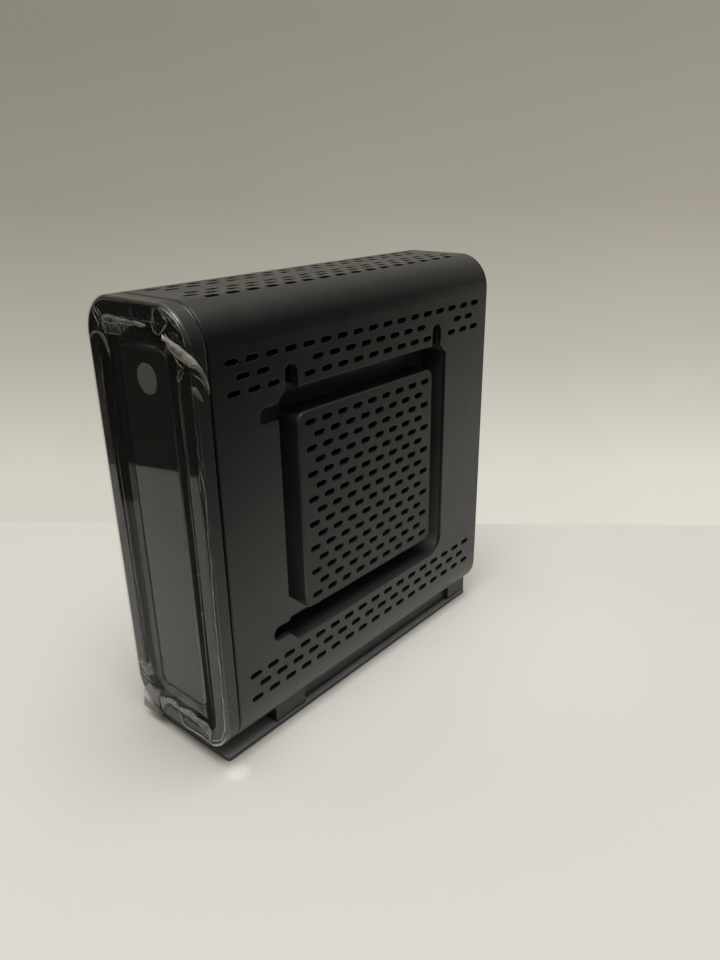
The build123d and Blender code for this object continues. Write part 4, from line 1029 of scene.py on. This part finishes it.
def table_material():
    """Pale surface with painted pools of light near the set, one-sided; away from the set it hands
    rays on to the room.
    """
    table_tone = (0.800, 0.780, 0.735)
    mat = Mat("table_plain")
    geometry = mat.node("ShaderNodeNewGeometry").outputs
    place = geometry["Position"]
    camera_ray = mat.node("ShaderNodeLightPath").outputs["Is Camera Ray"]
    x, y, z = mat.xyz(place)
    tone = mat.ramp(mat.remap(z, over=(-1, 1)), [(0.0, table_tone), (1.0, table_tone)])
    mottle = mat.remap(mat.noise(scale=9.0), over=(0.3, 0.7), to=(0.0, 0.03))
    tone = mat.mix_color(mottle, tone, (0.50, 0.48, 0.44))
    # the part of the table that stays solid for rays other than the camera's
    slant = mat.sub(x, mat.mul(y, 0.4))
    near_x = mat.remap(slant, over=(0.070, 0.185), to=(1.0, 0.0), smooth=True)
    rim = mat.add(y, mat.mul(x, 0.315))
    near_y = mat.remap(rim, over=(-0.263, -0.258), smooth=True)
    # three painted pools of light: a round one, a strip along the right side that lifts the body's
    # shadow, a spot by the front
    # painted pool of light, round, behind the stand
    gap = mat.distance(place, (0.035, 0.045, 0.0))
    glow = mat.remap(gap, over=(0.010, 0.090), to=(1.0, 0.0), smooth=True)
    tone = mat.mix_color(glow, tone, (0.850, 0.829, 0.782))
    painted_light_strip = mat.mul(mat.remap(x, over=(0.022, 0.060), to=(1.0, 0.0), smooth=True),
                    mat.remap(x, over=(0.0100, 0.0170)))
    painted_light_strip = mat.mul(painted_light_strip, mat.mul(mat.remap(y, over=(-0.080, -0.035), smooth=True),
                                   mat.remap(y, over=(0.085, 0.045), smooth=True)))
    tone = mat.mix_color(painted_light_strip, tone, (0.965, 0.941, 0.890))
    gap = mat.distance(place, (0.0225, -0.0668, 0.0))
    painted_light_spot = mat.remap(gap, over=(0.0012, 0.0048), to=(1.0, 0.0), smooth=True)
    tone = mat.mix_color(painted_light_spot, tone, (1.0, 0.985, 0.95))
    # painted shade: towards the front it is dimmer to all but the camera
    reflected_shade = mat.max(camera_ray, mat.remap(y, over=(-0.190, -0.060), to=(0.80, 1.0)))
    diffuse = mat.node("ShaderNodeBsdfDiffuse", {"Color": mat.scaled(tone, reflected_shade)}).outputs[0]
    clear = mat.node("ShaderNodeBsdfTransparent").outputs[0]
    keep = mat.max(camera_ray, mat.mul(near_x, near_y))
    return one_sided(mat, geometry, clear, keep, diffuse)


def wall_material():
    """Pale wall that glows, with painted shading by height: brightest where it meets the table, and
    painted brighter towards +X. One-sided.
    """
    mat = Mat("wall_plain")
    geometry = mat.node("ShaderNodeNewGeometry").outputs
    camera_ray = mat.node("ShaderNodeLightPath").outputs["Is Camera Ray"]
    x, _, z = mat.xyz(geometry["Position"])
    tone = mat.ramp(mat.remap(z, over=(0.0, 0.215)), [
        (0.0, (0.715, 0.690, 0.615)), (0.13, (0.700, 0.675, 0.600)),
        (0.40, (0.500, 0.470, 0.408)), (0.70, (0.352, 0.325, 0.274)),
        (1.0, (0.296, 0.274, 0.228))])
    # painted light: the glow grows towards +X
    along = mat.remap(x, over=(-0.16, 0.05), to=(0.90, 1.04))
    mottle = mat.remap(mat.noise(scale=14.0, detail=3.0), over=(0.3, 0.7), to=(0.985, 1.015))
    emission = mat.node("ShaderNodeEmission",
                        {"Color": tone, "Strength": mat.mul(along, mottle)}).outputs[0]
    clear = mat.node("ShaderNodeBsdfTransparent").outputs[0]
    near = mat.remap(x, over=(0.112, 0.225), to=(1.0, 0.0), smooth=True)
    return one_sided(mat, geometry, clear, mat.max(camera_ray, near), emission)


TABLE_HALF = 2.2
WALL_FOOT = Vector((-0.202, -0.0302, 0.0))     # a point where the wall meets the table
WALL_RUN = Vector((0.787, 0.616, 0))
WALL_RISE = Vector((0, 0, 1.6))

quad("stage_table", [(-TABLE_HALF, -TABLE_HALF, 0), (TABLE_HALF, -TABLE_HALF, 0),
                     (TABLE_HALF, TABLE_HALF, 0), (-TABLE_HALF, TABLE_HALF, 0)],
     table_material())
wall_start = WALL_FOOT - WALL_RUN * 1.6
wall_end = WALL_FOOT + WALL_RUN * 2.4
wall = quad("stage_wall", [wall_start, wall_end, wall_end + WALL_RISE, wall_start + WALL_RISE],
            wall_material())
wall.visible_shadow = False
wall.visible_diffuse = False


# ================================ lights ==================================
def build_world():
    """Room shaded by height, with its own tones for diffuse, camera and other rays."""
    world = bpy.data.worlds.new("studio")
    scene.world = world
    tree = Nodes(world, "ShaderNodeOutputWorld")
    world.cycles.sampling_method = "NONE"
    rays = tree.node("ShaderNodeLightPath").outputs
    _, _, incoming_z = tree.xyz(tree.node("ShaderNodeNewGeometry").outputs["Incoming"])
    height = tree.remap(tree.mul(incoming_z, -1.0), over=(-1.0, 1.0))
    mirrored = tree.ramp(height, [(0.30, (0.022, 0.019, 0.016)), (0.56, (0.030, 0.027, 0.024)),
                                  (1.0, (0.42, 0.41, 0.40))])
    fill = tree.ramp(height, [(0.52, (0.012, 0.0117, 0.011)), (0.76, (0.13, 0.127, 0.12)),
                              (1.0, (0.46, 0.45, 0.425))])
    tone = tree.mix_color(rays["Is Diffuse Ray"], mirrored, fill)
    tone = tree.mix_color(rays["Is Camera Ray"], tone, (0.62, 0.60, 0.56))
    tree.done(tree.node("ShaderNodeBackground", {"Color": tone}).outputs[0])


def build_key():
    """A square lamp above the set."""
    place, target = Vector((0.14, -0.14, 1.15)), Vector((0.0, 0.0, 0.04))
    lamp = bpy.data.lights.new("key", "AREA")
    lamp.shape = "RECTANGLE"
    lamp.size = lamp.size_y = 0.80
    lamp.energy = 10.4
    lamp.color = (1.0, 0.985, 0.955)
    key_light = bpy.data.objects.new("key", lamp)
    scene.collection.objects.link(key_light)
    key_light.location = place
    key_light.rotation_euler = (target - place).to_track_quat("-Z", "Y").to_euler()


build_world()
scene.cycles.caustics_reflective = False
scene.cycles.caustics_refractive = False
build_key()


# ================================ camera ==================================
def build_camera():
    lens = bpy.data.cameras.new("camera")
    lens.lens = 28.39
    lens.sensor_width = 36
    lens.sensor_fit = "AUTO"
    lens.clip_start = 0.01
    camera = bpy.data.objects.new("camera", lens)
    scene.collection.objects.link(camera)
    turn, tilt, roll = (math.radians(angle) for angle in (40.876, 22.473, -0.908))
    back = Vector((math.sin(turn) * math.cos(tilt), -math.cos(turn) * math.cos(tilt),
                   math.sin(tilt)))
    right = Vector((math.cos(turn), math.sin(turn), 0))
    up = back.cross(right)
    cos_roll, sin_roll = math.cos(roll), math.sin(roll)
    pose = Matrix((cos_roll * right + sin_roll * up, -sin_roll * right + cos_roll * up,
                   back)).transposed().to_4x4()
    pose.translation = Vector((0.1634, -0.1732, 0.1632))
    camera.matrix_world = pose
    scene.camera = camera


build_camera()
scene.view_settings.view_transform = "Standard"
